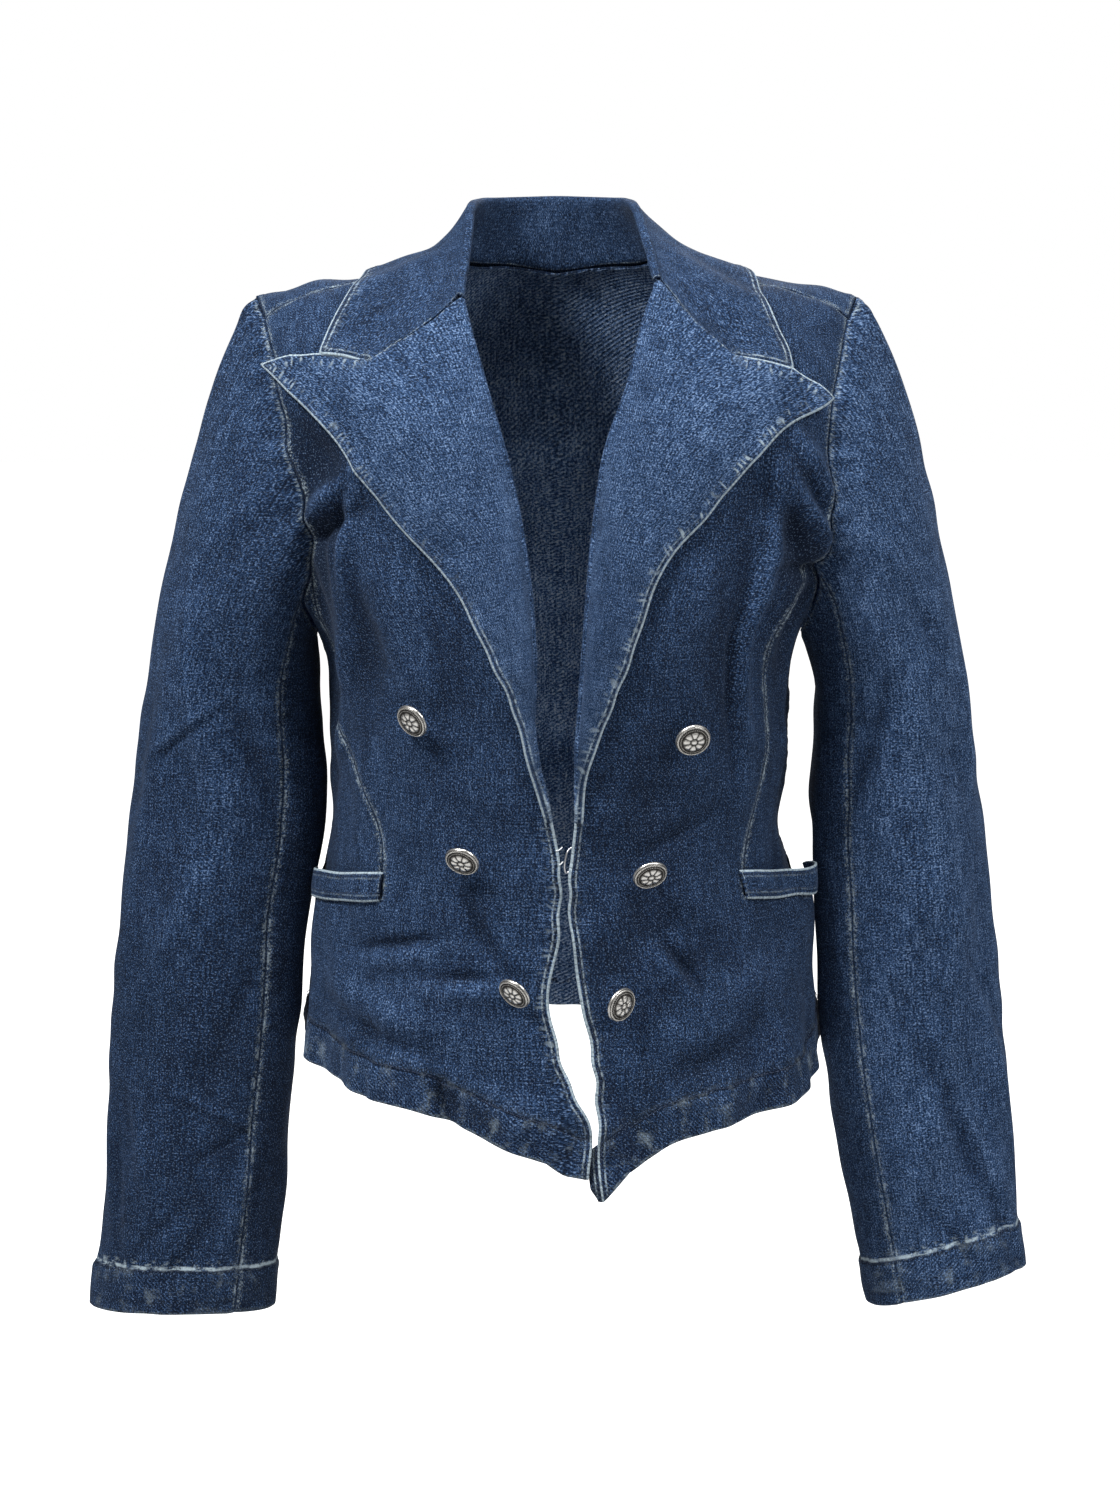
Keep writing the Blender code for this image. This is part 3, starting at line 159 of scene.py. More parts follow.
# armhole, from the ridge of the shoulder down to the underarm; turns are measured from the side
ARMHOLE = both("station turn v", [
    (0, 18, 50), (1, 24.7, -3.3), (2, 28.3, -29), (3, 31.2, -52), (4, 33.4, -74), (5, 35.5, -96),
    (6, 39, -118), (7, 38, -147), (8, 29, -175), (9, 21.5, -190), (10, 14, -202), (11, 7, -212),
    (12, 0, -216.5)], [
    (0, 18, 50), (1, 24.7, -3.3), (2, 28.3, -29), (3, 31.2, -52), (4, 33.8, -74), (5, 35.3, -95),
    (6, 35.4, -116), (7, 34, -137), (8, 30.5, -156), (9, 25, -174), (10, 17.5, -191),
    (11, 8.5, -208), (12, 0, -216.5)])
UNDERARM_V = -0.2165
SHOULDER_STATION = 1        # outer end of the shoulder seam
FRONT_STATION = 8           # where the front's seam meets the armhole
SIDE_STATION = 12           # underarm
BACK_STATION = 17           # where the back's seam meets the armhole
STATIONS = 24

# free edge of each front, from the hem's corner up to the roll line and the gorge
FRONT_EDGE = both("height across", [
    (-539, 19.5), (-512, 20.5), (-476, 5.2), (-430, -5), (-385, 1), (-345, 1), (-312, -5),
    (-275, -13.5), (-212, -14), (-142, -21.5), (-98, -31), (-64, -41), (-27, -52), (-9, -57.2)], [
    (-553, 28.5), (-530, 26.5), (-476, 24), (-437, 17.2), (-389, 9.3), (-361, 8), (-318, 11.8),
    (-275, 13), (-224, 16.3), (-138, 23.5), (-95, 30), (-58, 43), (-15, 55), (1, 61.2)])

# outer edge of each lapel, from the break up to the tip
LAPEL_EDGE = both("height across", [
    (-318, -6.5), (-290, -14.5), (-241, -28), (-206, -44.4), (-172, -62), (-148, -85),
    (-113, -114), (-80, -139.5), (-60, -162), (-49, -174)], [
    (-318, 15.2), (-290, 17.5), (-262, 26.8), (-206, 47.2), (-163, 63), (-136, 86), (-101, 116.4),
    (-79, 142), (-73, 155), (-68, 162)])

# top of each lapel: gorge seam from the roll line to the collar's corner, then out to the tip
LAPEL_TOP = both("step across height", [
    (0, -57.2, -9), (2, -83, -28.5), (4, -111.2, -45.6), (6, -140.2, -42.8), (7, -158, -43.6),
    (8, -174, -49)], [
    (0, 61.2, 1), (2, 82, -23), (4, 106, -43.2), (6, 140, -51), (7, 154, -60), (8, 162, -68)])
GORGE_STEPS = 4             # steps of that line along the gorge seam
NOTCH_STEP = 6              # step where the collar's outer edge meets the lapel
TIP_STEP = 8
FOLD_COLUMNS = 7            # columns of the fold along a lapel's roll line
FALL_COLUMN = 6             # column of the collar where its fall starts, at the end of the fold
GORGE_LIFT = table("step lift", [(0, 4), (4, 5.6), (6, 6), (8, 7.5)])

# fold of the collar and its outer edge, from each front end (0) to the centre back (8)
COLLAR = both("station fold_x fold_y fold_z edge_x edge_turn", [
    (0, 58.5, -76.5, -3.5, 140, 40), (1, 57.8, -66, 5, 136.8, 48), (2, 56.2, -48, 17, 132.5, 56),
    (3, 54.5, -27, 34, 123.5, 70), (4, 53.5, -3, 49, 117, 90), (5, 48, 25, 52.5, 102, 109),
    (6, 37, 42, 53, 77, 124), (7, 20, 52, 53.5, 42, 133), (8, 0, 55, 54, 0, 137)], [
    (0, 61, -64, 6.5, 140, 34), (1, 59.5, -56, 13, 138, 42), (2, 57, -42, 23, 132.5, 50),
    (3, 53, -24, 37, 125, 63), (4, 49, -3, 49, 118.5, 87), (5, 44, 25, 52.5, 103, 108),
    (6, 35, 42, 53, 77, 124), (7, 19, 52, 53.5, 42, 133), (8, 0, 55, 54, 0, 137)])
FALL_PULL = {"right": 0.95, "left": 0.72}     # how closely the fall follows neck and shoulder

# neckline, from each front end (0) to the centre back (8); turn is measured from the front
NECK = table("station across turn", [
    (1, 61, 60), (2, 64.5, 68), (3, 67, 77), (4, 68, 86), (5, 64, 102), (6, 53, 115),
    (7, 30, 123), (8, 0, 127)])
SIDE_NECK = 4

# seams of the body, as the turn from the centre front at each height
FRONT_SEAM = both("v turn", [
    (-560, 42), (-430, 42), (-371, 42.5), (-335, 45.5), (-295, 56), (-262, 71), (-220, 72),
    (-175, 61)], [
    (-560, 47), (-430, 47), (-371, 47.5), (-335, 53.5), (-295, 58), (-255, 58.5), (-215, 57),
    (-156, 59.5)])
SIDE_SEAM = table("v turn", [(-560, 93), (-345, 92), (-216.5, 90)])
BACK_SEAM = table("v turn", [(-560, 147), (-345, 148), (-250, 144), (-180, 134), (-137, 124)])

# hem, as its height at each turn from the centre front
HEM = both("turn v", [
    (0, -532), (8, -522), (18, -510), (28, -501), (42, -495), (60, -488), (92, -481), (140, -484),
    (180, -487)], [
    (0, -556), (8, -538.5), (18, -519.5), (28, -512), (42, -507), (60, -500), (92, -483),
    (140, -484), (180, -487)])

# heights of the rows across a front: up its free edge, its outer seam and the side seam
EDGE_ROWS = [-0.460, -0.412, -0.365, -0.318, -0.288, -0.258, -0.226, -0.195, -0.166,
             -0.140, -0.116, -0.094, -0.074, -0.056, -0.039, -0.023]
SEAM_ROWS = [-0.440, -0.405, POCKET_SEAM, -0.343, -0.312, -0.281, -0.250, -0.219, -0.188]
SIDE_ROWS = [-0.448, -0.418, -0.385, -0.358, -0.335, -0.311, -0.287, -0.263, -0.240]
BREAK_ROW = 6               # row where the lapel starts to turn out
POCKET_ROW = 5              # row where the lower front meets the welt
ARMHOLE_ROW = 12            # row where the front's seam meets the armhole
FRONT_ROWS = 20             # rows of a front, from the hem up to the gorge
FRONT_COLUMNS = 10
BACK_ROWS = 21              # rows of the back, from the hem up and over the ridge
SHOULDER_COLUMNS = 5        # columns of cloth along the shoulder seam
BACK_HALF = 9               # columns of the back from its edge to its middle
POCKET_COLUMNS = 8          # columns of cloth from the princess seam to the side seam

# rings of the sleeves, from the upper arm down to the cuff
SLEEVE = both("height outer inner depth forward tilt", [
    (-262, 261.2, 150.5, 54, 0, 0.05), (-325, 270.5, 147, 44, 2, 0.03),
    (-395, 279, 158.5, 36, 5, 0.02), (-465, 285.5, 164, 31, 6, 0.02),
    (-530, 289, 172.2, 28, 8, 0.01), (-590, 293.5, 177.8, 26, 10, 0),
    (-628, 297.5, 182.5, 25, 11, 0), (-655, 301, 185.8, 24, 12, 0)], [
    (-262, 259, 164.5, 53, 0, 0.05), (-325, 269, 161.5, 43, 0, 0.05),
    (-395, 278.5, 164.5, 36, 1, 0.07), (-465, 285, 170, 31, 2, 0.1),
    (-530, 291.5, 180, 28, 4, 0.15), (-580, 296.5, 190.5, 26, 6, 0.2),
    (-614, 300, 198, 25, 8, 0.24), (-642, 302, 204, 24, 9, 0.26)])
CAP_FULLNESS = {"right": 0.38, "left": 0.50}    # how far the cap swells before it falls
CAP_LEAVE = (0.66, 0.12, -0.25, -0.74, 0.08)    # its heading: outward, forward and downward parts
SLEEVE_SQUARE = 0.9         # power of the rings' sine and cosine: below 1 is fuller than an ellipse
SLEEVE_RADIUS = 0.045       # of a round arm, for the width of a sleeve's folds
SLEEVE_GAP = 0.0006         # from the armhole's seam out to the start of the sleeve
UNDERARM_LIFT = 0.0021      # the sleeve's under half starts this far outside the body's cloth
UNDERARM_SPAN = 5.5         # stations either side of the underarm over which it does
HEAD_STEPS = [0.0, 0.12, 0.30, 0.52, 0.76]      # rows between the armhole and the first ring
# turn round the sleeve at chosen armhole stations: 0 outside, 90 front, 180 inside, 270 back
SLEEVE_TURN = table("station turn", [
    (0, 0), (4, 52), (9, 125), (12, 175), (16, 245), (20, 305), (24, 360)])
WRAP = 3                    # columns that wrap round a sleeve, so that the tube is smooth
SLEEVE_FRONT = 9            # station of the sleeve's front seam
SLEEVE_BACK = 16            # station of the sleeve's back seam

# largest folds of the body: a positive depth is a ridge, a negative one a trough
FOLDS = table("turn v heading length width depth", [
    (-52, -135, 62, 120, 18, -4), (-60, -150, 75, 110, 16, 3), (52, -150, 118, 150, 17, 4),
    (44, -180, 112, 130, 17, -4), (-34, -405, 4, 110, 18, -2.5), (30, -430, 30, 120, 20, -2.5),
    (160, -330, 8, 160, 20, -3), (-160, -350, -8, 160, 20, -3), (128, -190, 60, 120, 18, -3),
    (-128, -190, -60, 120, 18, -3)])

# largest folds of the sleeves; slope is the turn, in degrees, gained per metre up the sleeve
SLEEVE_FOLDS = both("turn height slope length width depth", [
    (60, -330, 300, 200, 16, -3), (95, -430, -250, 160, 14, 3), (40, -520, 200, 160, 16, -3),
    (300, -420, 260, 220, 18, -3.5)], [
    (55, -500, -160, 260, 14, -4), (85, -350, 260, 180, 14, 3), (60, -420, 120, 200, 16, 3),
    (300, -450, -260, 220, 18, -3.5)])

# buttons: place on the front, the way each hanging face leans against the front's -1, and the
# thread between cloth and shank
BUTTONS = table("across height face_x face_z thread", [
    (-81.5, -255, -0.85, -0.6, 0.6), (-54.5, -341, -0.4, -0.75, 0.8),
    (-24, -423, -0.8, -0.72, 0.1), (78, -266, 0.25, -0.5, 0.5), (54, -350, 0.35, -0.75, 0.8),
    (37, -430, 0.95, -0.28, 0)])

# a button's shank, as its radius from foot to seat, and the back and rim of its medal, as shares
# of the full radius and heights over the seat
SHANK = table("share radius", [(0, 1.9), (0.35, 1.6), (0.7, 1.7), (0.9, 2.6), (1, 3.6)])
MEDAL_BACK = table("share height", [
    (0.5, 0.1), (0.8, 0.4), (0.94, 0.8), (1, 1.3), (1, 2), (0.985, 2.4)])

# one stitch: place along it and width, as shares of its length and of the thread
STITCH = table("place size", [(-0.5, 0.34), (-0.28, 1), (0.28, 1), (0.5, 0.34)])

# hook: how far each point of the wire lies past the front's edge, and behind the cloth's middle
HOOK_ROUTE = table("past behind height", [
    (-6, 1.6, -334.5), (-1, 1.6, -335), (2, 1.2, -336.2), (3.6, 0, -339), (4.2, -0.6, -344),
    (3.8, -0.2, -349), (2.4, 0.8, -351.2), (-0.5, 1.5, -349), (-6, 1.6, -346)])

# stubs of thread on the right front's edge: height and length, in metres
STUBS = [(-0.337, 0.0042), (-0.346, 0.0034)]

# painted light and shade: how much lighter or darker the cloth of one side is toned
FRONT_SHADING = {"right": 0.01, "left": -0.06}
SLEEVE_SHADING = {"right": 0.03, "left": 0.16}
SLEEVE_FOOT_SHADE = {"right": -0.50, "left": -0.15}   # painted shade added towards the cuff
UNDER_SHADE = 0.10            # painted shade: the sleeves' under halves are toned darker

# soft bends of each lapel, in the same terms as the body's folds
LAPEL_WAVES = both("turn v heading length width depth", [
    (-26, -90, 120, 120, 14, 1.8), (-38, -75, 105, 80, 12, -1.6), (-20, -170, 108, 110, 10, -1.2),
    (-14, -230, 98, 100, 9, 1.2)], [
    (28, -85, 62, 120, 14, 1.8), (40, -90, 74, 80, 12, -1.6), (20, -165, 70, 110, 10, -1.2),
    (12, -235, 82, 100, 9, 1.2)])

# heights over which a lapel's edge changes from doubled to a single line, and how ticked it is
DOUBLED_EDGE = {"right": (-0.215, -0.170), "left": (-0.165, -0.125)}
TICKED_EDGE = both("height share", [
    (-320, 0.3), (-240, 0.1), (-180, 0.1), (-120, 0.3), (-80, 0.5), (-50, 0.7)], [
    (-320, 0.7), (-250, 0.5), (-200, 0.6), (-150, 0.9), (-110, 1), (-70, 0.8)])

FLOOR_REACH = 9.0           # half the floor's width
FLOOR_HEIGHT = -0.80

# lights: name, place, width and power; they face the middle of the blazer
MIDDLE = (0.0, 0.0, -0.28)
LIGHTS = [("key_light", (-1.10, -1.05, 1.35), 0.45, 58.0),
          ("fill_light", (1.40, -0.95, 0.90), 0.8, 27.0),
          ("top_light", (0.1, -0.6, 1.5), 0.5, 14.0), ("back_light", (0.3, 1.9, 0.9), 1.3, 26.0)]


# ---------------------------------------- curves and the body's surface
def smooth(x, known, values):
    """Cubic curve through the points of a table, level beyond its ends."""
    x = np.asarray(x, float)
    slopes = np.gradient(values, known)
    i = np.clip(np.searchsorted(known, x) - 1, 0, len(known) - 2)
    span = known[i + 1] - known[i]
    t = np.clip((x - known[i]) / span, 0.0, 1.0)
    start = values[i] * (1 + 2 * t) * (1 - t) ** 2 + slopes[i] * span * t * (1 - t) ** 2
    end = values[i + 1] * (3 - 2 * t) * t ** 2 + slopes[i + 1] * span * t ** 2 * (t - 1)
    return start + end


def read(rows, x, column=None):
    """A table's column where its first one holds x: its second column unless another is named."""
    names = list(rows)
    return smooth(x, rows[names[0]], rows[column or names[1]])


def ease(x, low, high):
    """Smooth step from 0 at low to 1 at high."""
    t = np.clip((np.asarray(x, float) - low) / (high - low), 0.0, 1.0)
    return t * t * (3 - 2 * t)


def unit(vectors):
    """Vectors scaled to a length of one."""
    return vectors / np.linalg.norm(vectors, axis=-1, keepdims=True)


def ring(v, column):
    """A size of the body's ring at height v."""
    return read(BODY, np.minimum(v, ARCH_FOOT), column)


def ridge(across):
    """Height of the shoulder's ridge."""
    return read(RIDGE, np.abs(across))


def body_form(turn, v):
    """Body surface without folds.

    Below the arch each ring is a superellipse at height v.  Above it, v goes on along a quarter
    ellipse to the ridge of the shoulder, and past the ridge down the other side.
    """
    angle = np.radians(turn)
    sine, cosine = np.sin(angle), np.cos(angle)
    x = ring(v, "half_width") * np.sign(sine) * np.abs(sine) ** (2 / ROUND) + ring(v, "shift")
    arch = np.clip((v - ARCH_FOOT) / ARCH_LENGTH, 0, 2) * np.pi / 2
    facing = np.where(cosine >= 0, 1.0, -1.0) * np.where(np.cos(arch) >= 0, 1.0, -1.0)
    depth = np.where(facing > 0, ring(v, "front"), ring(v, "back"))
    y = -facing * depth * np.abs(cosine) ** (2 / ROUND) * np.abs(np.cos(arch))
    z = np.where(v <= ARCH_FOOT, v, ARCH_FOOT + (ridge(x) - ARCH_FOOT) * np.sin(arch))
    return np.stack([x, y, z], -1)


def laid(surface, turn, v):
    """Points of one of the body's surfaces, and its outward normals from small steps along it."""
    round_body = surface(turn + TURN_STEP, v) - surface(turn - TURN_STEP, v)
    up_body = surface(turn, v + V_STEP) - surface(turn, v - V_STEP)
    return surface(turn, v), unit(np.cross(round_body, up_body))


def raised(turn, v, height):
    """Points at a height over the body without folds."""
    points, normals = laid(body_form, turn, v)
    return points + normals * height[..., None]


def relief(folds, turn, v):
    """Height of the folds: each is a soft ridge or trough along a straight heading."""
    total = np.zeros(np.broadcast(turn, v).shape)
    for row in zip(*folds.values()):
        turn_0, v_0, heading, length, width, depth = row
        offset = (np.asarray(turn) - turn_0 + 180.0) % 360.0 - 180.0
        a, b = offset * ARC_PER_DEGREE, v - v_0
        c, s = np.cos(np.radians(heading)), np.sin(np.radians(heading))
        along, across = a * c + b * s, b * c - a * s
        total = total + depth * np.exp(-(across / width) ** 2 - (2 * along / length) ** 2)
    return total


# smaller creases laid over the largest folds, in the same terms
CREASES = table("turn v heading length width depth", [
    # wearer's right front: hollow between lapel and armhole, and the ridge below it
    (-46.5, -99, 142, 62, 10, -5.2), (-43.5, -126, 40, 56, 6, 4.6),
    (-43.5, -143, 30, 50, 6, -4.2), (-41.3, -146, 70, 70, 3.5, -2.6),
    (-39.3, -148, 70, 80, 4.5, 2.2), (-50, -170, 72, 70, 9, -4), (-52, -198, 62, 140, 9, 3.6),
    (-60, -180, 66, 110, 10, -4), (-43, -200, 75, 120, 11, -2.6), (-34, -200, 96, 120, 16, 1.6),
    (-24, -240, 82, 110, 14, -1.4),
    # below the wearer's right pocket and towards the hem
    (-37, -399, 10, 55, 4, -2.4), (-37, -409, 12, 60, 6, 2.2), (-18, -417, 4, 40, 4, -2.2),
    (-17, -426, 0, 45, 5.5, 1.6), (-16.5, -372, 106, 60, 4.5, -1.8),
    (-13.5, -393, 117, 50, 4, -2.2), (-10, -432, 104, 60, 5.5, 1.6),
    (-41, -440, 165, 90, 10, 2.2), (-38, -458, 163, 85, 7, -3), (-24, -474, 150, 80, 10, 2),
    (-40, -480, 82, 40, 5.5, 2.2), (-23, -495, 104, 50, 5, -3.4), (-7, -512, 88, 35, 5, 1.6),
    (-13, -506, -40, 60, 8, -1.8),
    # wearer's left front: two long folds under the lapel's tip and the hollow beneath
    (51, -116, 124, 75, 7, 3.4), (50, -124, 126, 60, 5, -2.6), (51.5, -140, 134, 60, 5.5, 4),
    (47.5, -151, 130, 58, 8.5, -4.6), (57, -170, 178, 50, 4.5, -3.6),
    (64, -200, 102, 60, 10, -4.6), (41.5, -163, 97, 90, 6.5, 3.6), (44.5, -215, 97, 110, 6.5, 3),
    (40.8, -228, 96, 120, 4.2, -2.4), (35, -215, 97, 110, 11, -2.2),
    (27, -190, 106, 110, 14, 1.4), (20, -300, 75, 100, 16, -1.4), (27, -329, 30, 50, 6, -1.8),
    (24.5, -410, 124, 45, 4.2, -2.4), (21.5, -416, 122, 50, 6, 1.6), (33, -495, 80, 40, 5.5, 2),
    (12, -520, 100, 40, 5.5, -1.8), (14, -392, 58, 90, 12, -1.8), (24, -420, 44, 70, 10, -1.6),
    (40, -430, 20, 80, 12, 1.4), (30, -468, 24, 70, 8, -1.6), (44, -486, 28, 60, 10, 2),
    # sides and back
    (-78, -300, 85, 110, 12, -2), (80, -290, 88, 120, 12, -2.2), (-100, -250, 60, 80, 10, 2.2),
    (104, -255, 118, 80, 10, 2.2), (-120, -430, 20, 100, 12, -2.2), (122, -420, -18, 100, 12, -2),
    (-150, -270, 30, 120, 12, 2.6), (150, -250, 152, 120, 12, 2.4),
    (-168, -300, 12, 110, 10, -2.2), (168, -310, 170, 120, 10, -2), (176, -360, 4, 140, 11, 2),
    (-142, -160, 62, 100, 12, -1.4), (142, -160, 118, 100, 12, -1.4), (-158, -450, 10, 90, 12, 2),
    (156, -440, -12, 90, 12, 2)])

# painted shade beside the armholes and under the lapels' tips: the last column darkens it, as a share
# of a crease
PAINTED_SHADE = table("turn v heading length width depth", [
    (-46.5, -135, 74, 130, 22, -850), (-57, -215, 78, 150, 20, -650),
    (51.5, -158, 112, 90, 14, -700), (62, -225, 98, 140, 18, -550),
    (-80, -300, 88, 200, 24, -450), (80, -300, 92, 200, 24, -450)])

SLEEVE_CREASES = both("turn height slope length width depth", [
    (85, -105, 1500, 22, 4, -1), (90, -128, -1300, 24, 4.2, 1), (66, -160, 500, 60, 6, -1),
    (60, -215, -300, 90, 8, 1.2), (110, -300, -420, 90, 6, -2.4), (80, -290, -260, 100, 7, 1.8),
    (62, -274, 1300, 38, 4, 1), (57, -284, 1300, 40, 4.6, -0.9), (20, -300, 160, 130, 9, -1.4),
    (70, -400, 420, 90, 7, 1.2), (100, -480, 300, 110, 6, -1.4), (98, -520, -2000, 22, 3.6, 1.3),
    (104, -546, 1400, 32, 4.6, -0.9), (60, -560, -380, 100, 6, 1.4),
    (35, -590, -200, 90, 6.2, -1.4), (120, -580, 240, 90, 6, 1.4), (72, -602, 900, 40, 5, -1),
    (88, -622, 500, 60, 5, -1.2), (200, -420, 200, 150, 12, -2.8),
    (250, -350, -240, 120, 10, 2.4), (300, -560, 300, 120, 11, -2.4),
    (330, -300, -100, 150, 12, 2.2)], [
    (88, -98, -1500, 22, 4.2, -1.3), (86, -114, 1500, 24, 4, 1.2),
    (92, -132, -900, 30, 4.5, -1.3), (70, -165, 600, 60, 6, 1.2), (56, -205, 300, 80, 7, -1.2),
    (110, -290, -400, 90, 6, -2.4), (78, -270, 200, 120, 7, 1.8), (58, -284, 520, 80, 5, 1.5),
    (52, -292, 520, 80, 5.2, -1.7), (20, -260, -160, 120, 9, 1.4),
    (95, -420, -380, 100, 6.5, 1.5), (40, -440, 600, 60, 5.5, -1.3),
    (72, -524, 340, 120, 6.2, -2.1), (61, -530, 380, 120, 5.8, 2), (96, -560, -300, 90, 5.5, 1.6),
    (40, -600, 420, 70, 5.5, -1.6), (84, -606, 700, 50, 4.5, -1.5), (30, -480, 300, 100, 7, 1.3),
    (200, -430, -220, 150, 12, -2.8), (250, -340, 240, 120, 10, 2.4),
    (300, -550, -300, 120, 11, -2.4), (330, -320, 120, 150, 12, 2.2)])

# slow swelling of the whole cloth: waves round the body, wave length up it, phase and height
WAVES = table("count up phase height", [
    (14, 173, 0.4, 0.6), (18, -117, 2.1, 0.45), (8, 71, 4, 0.6), (25, 143, 1.2, 0.3),
    (10, -53, 5.3, 0.36), (5, 39, 3.1, 0.26)])

# waves of the hem: how many round the body, phase and height
HEM_WAVES = table("count phase height", [
    (7, 0.6, 2), (11, 2.9, 2.6), (17, 4.4, 1.8), (29, 1.1, 0.8)])


# ---------------------------------------- settings
class BlazerSizes(bpy.types.PropertyGroup):
    """Sizes that a user may change."""
    cell: FloatProperty(name="Cloth cell", description="Spacing of the points of a panel",
                        default=0.0027, min=0.001, subtype="DISTANCE")
    cloth: FloatProperty(name="Cloth", description="Thickness of a single layer of cloth",
                         default=0.0015, min=0.0003, subtype="DISTANCE")
    folded: FloatProperty(name="Folded cloth", description="Thickness of a hem, cuff or edge",
                          default=0.0026, min=0.0005, subtype="DISTANCE")
    seam_dip: FloatProperty(name="Seam dip", description="Depth by which cloth sinks into a seam",
                            default=0.0006, min=0.0, subtype="DISTANCE")
    pucker: FloatProperty(name="Pucker", description="Height of the small gathers along a seam",
                          default=0.00045, min=0.0, subtype="DISTANCE")
    creases: FloatProperty(name="Creases", description="Share of the creases' full depth",
                           default=2.0, min=0.0, max=2.5, subtype="FACTOR")
    stitch: FloatProperty(name="Stitch", description="Length of one stitch",
                          default=0.0027, min=0.001, subtype="DISTANCE")
    stitch_gap: FloatProperty(name="Stitch gap", description="Space between two stitches",
                              default=0.0008, min=0.0002, subtype="DISTANCE")
    thread: FloatProperty(name="Thread", description="Radius of the sewing thread",
                          default=0.00030, min=0.0001, subtype="DISTANCE")


def colour_property(name, description, default):
    """A colour setting with a name, a description and a default."""
    return FloatVectorProperty(name=name, description=description, default=default, size=3,
                               min=0.0, max=1.0, subtype="COLOR")


class BlazerColours(bpy.types.PropertyGroup):
    """Colours that a user may change, as linear light."""
    shade: colour_property("Dark yarn", "Denim at its darkest", (0.0030, 0.0075, 0.0195))
    indigo: colour_property("Indigo", "Main colour of the denim", (0.0094, 0.0250, 0.0640))
    faded: colour_property("Faded indigo", "Denim where its yarn is rubbed", (0.0355, 0.0745, 0.1620))
    fleck: colour_property("Fleck", "Undyed yarn that shows between", (0.1480, 0.2220, 0.3650))
    worn: colour_property("Worn edge", "Cloth rubbed pale along seams", (0.4100, 0.5000, 0.5550))
    thread: colour_property("Thread", "Sewing thread", (0.010, 0.021, 0.052))
    pale_thread: colour_property("Pale thread", "Loose ends of thread", (0.75, 0.78, 0.80))
    silver: colour_property("Silver", "Metal where it is rubbed bright", (0.76, 0.74, 0.70))
    tarnish: colour_property("Tarnish", "Metal in its hollows", (0.040, 0.037, 0.034))
    reverse: colour_property("Reverse", "Undyed yarn on the inside of the cloth",
                             (0.30, 0.36, 0.44))
    floor: colour_property("Floor", "Floor and backdrop", (0.55, 0.55, 0.55))


def sizes():
    """The scene's size settings."""
    return bpy.context.scene.blazer_sizes


def colours():
    """The scene's colour settings."""
    return bpy.context.scene.blazer_colours


# ---------------------------------------- the folded surfaces
def body(turn, v):
    """Body surface with its largest folds, as on the solid."""
    return raised(turn, v, relief(FOLDS, turn, v))


def crumpled(turn, v):
    """Height of all folds, creases and slow waves over the plain body."""
    fade = 1 - ease(v, -0.500, -0.405)
    high = relief(FOLDS, turn, v) + sizes().creases * relief(CREASES, turn, v)
    high = high + swelling(turn, v)
    for count, phase, height in zip(*HEM_WAVES.values()):
        high = high + height * fade * np.sin(np.radians(turn) * count + phase)
    return high


def draped(turn, v):
    """Body surface with all its folds, creases and slow waves."""
    return raised(turn, v, crumpled(turn, v))


def swelling(turn, b, share=1.0):
    """Sum of crossed sine waves of a turn and a length: uneven, slow rises of the cloth."""
    total = np.zeros(np.broadcast(turn, b).shape)
    for count, up, phase, height in zip(*WAVES.values()):
        total = total + height * np.sin(np.radians(turn) * np.round(count * share)
                                        + 2 * np.pi * b / up + phase
                                        + 1.3 * np.sin(2 * np.pi * b / 0.19 + phase))
    return total


# ---------------------------------------- places on the front
def arch_v(across, height):
    """v of a point of the arch, from its distance across and its height."""
    rise = np.clip((height - ARCH_FOOT) / (ridge(across) - ARCH_FOOT), 0, 1)
    arched = ARCH_FOOT + ARCH_LENGTH * np.arcsin(rise) / (np.pi / 2)
    return np.where(height <= ARCH_FOOT, height, arched)


def front_place(across, height):
    """Turn and v of a point of the front, from its distance across and its height."""
    v = arch_v(across, height)
    share = np.clip((across - ring(v, "shift")) / ring(v, "half_width"), -1, 1)
    turn = np.degrees(np.sign(share) * np.arcsin(np.abs(share) ** (ROUND / 2)))
    return np.stack([turn, v], -1)


def arch_place(side, across, turn_from_front):
    """Turn and v of a point of the arch, from its distance across and its turn over the ridge."""
    share = np.asarray(across) / ring(ARCH_FOOT, "half_width")
    turn = np.degrees(np.arcsin(share ** (ROUND / 2)))
    over = np.asarray(turn_from_front) > 90.0
    v = ARCH_FOOT + ARCH_LENGTH * np.where(over, 180.0 - turn_from_front, turn_from_front) / 90.0
    return np.stack([side * np.where(over, 180.0 - turn, turn), v], -1)


def from_back(place):
    """The same place of the arch, counted from the back over the ridge."""
    turn, v = place[..., 0], place[..., 1]
    return np.stack([np.sign(turn) * (180.0 - np.abs(turn)), 2 * RIDGE_V - v], -1)


def armhole_place(side, station):
    """Turn and v of the armhole at a station: 0 ridge, 12 underarm, 24 ridge again."""
    station = np.asarray(station, float)
    behind = station > SIDE_STATION
    mirrored = np.where(behind, STATIONS - station, station)
    hole = ARMHOLE["left" if side > 0 else "right"]
    turn, v = read(hole, mirrored, "turn"), read(hole, mirrored, "v")
    return np.stack([side * np.where(behind, 90.0 + turn, 90.0 - turn), v], -1)


def neck_place(side, station):
    """Turn and v of the neckline: 0 front end, 4 shoulder seam, 8 centre back."""
    station = np.asarray(station, float)
    name = "left" if side > 0 else "right"
    end = abs(LAPEL_TOP[name]["across"][0]), LAPEL_TOP[name]["height"][0]
    end_turn = 90.0 * (arch_v(*end) - ARCH_FOOT) / ARCH_LENGTH
    known = np.concatenate([[0], NECK["station"]])
    across = smooth(station, known, np.concatenate([[end[0]], NECK["across"]]))
    turn = smooth(station, known, np.concatenate([[end_turn], NECK["turn"]]))
    return arch_place(side, across, turn)


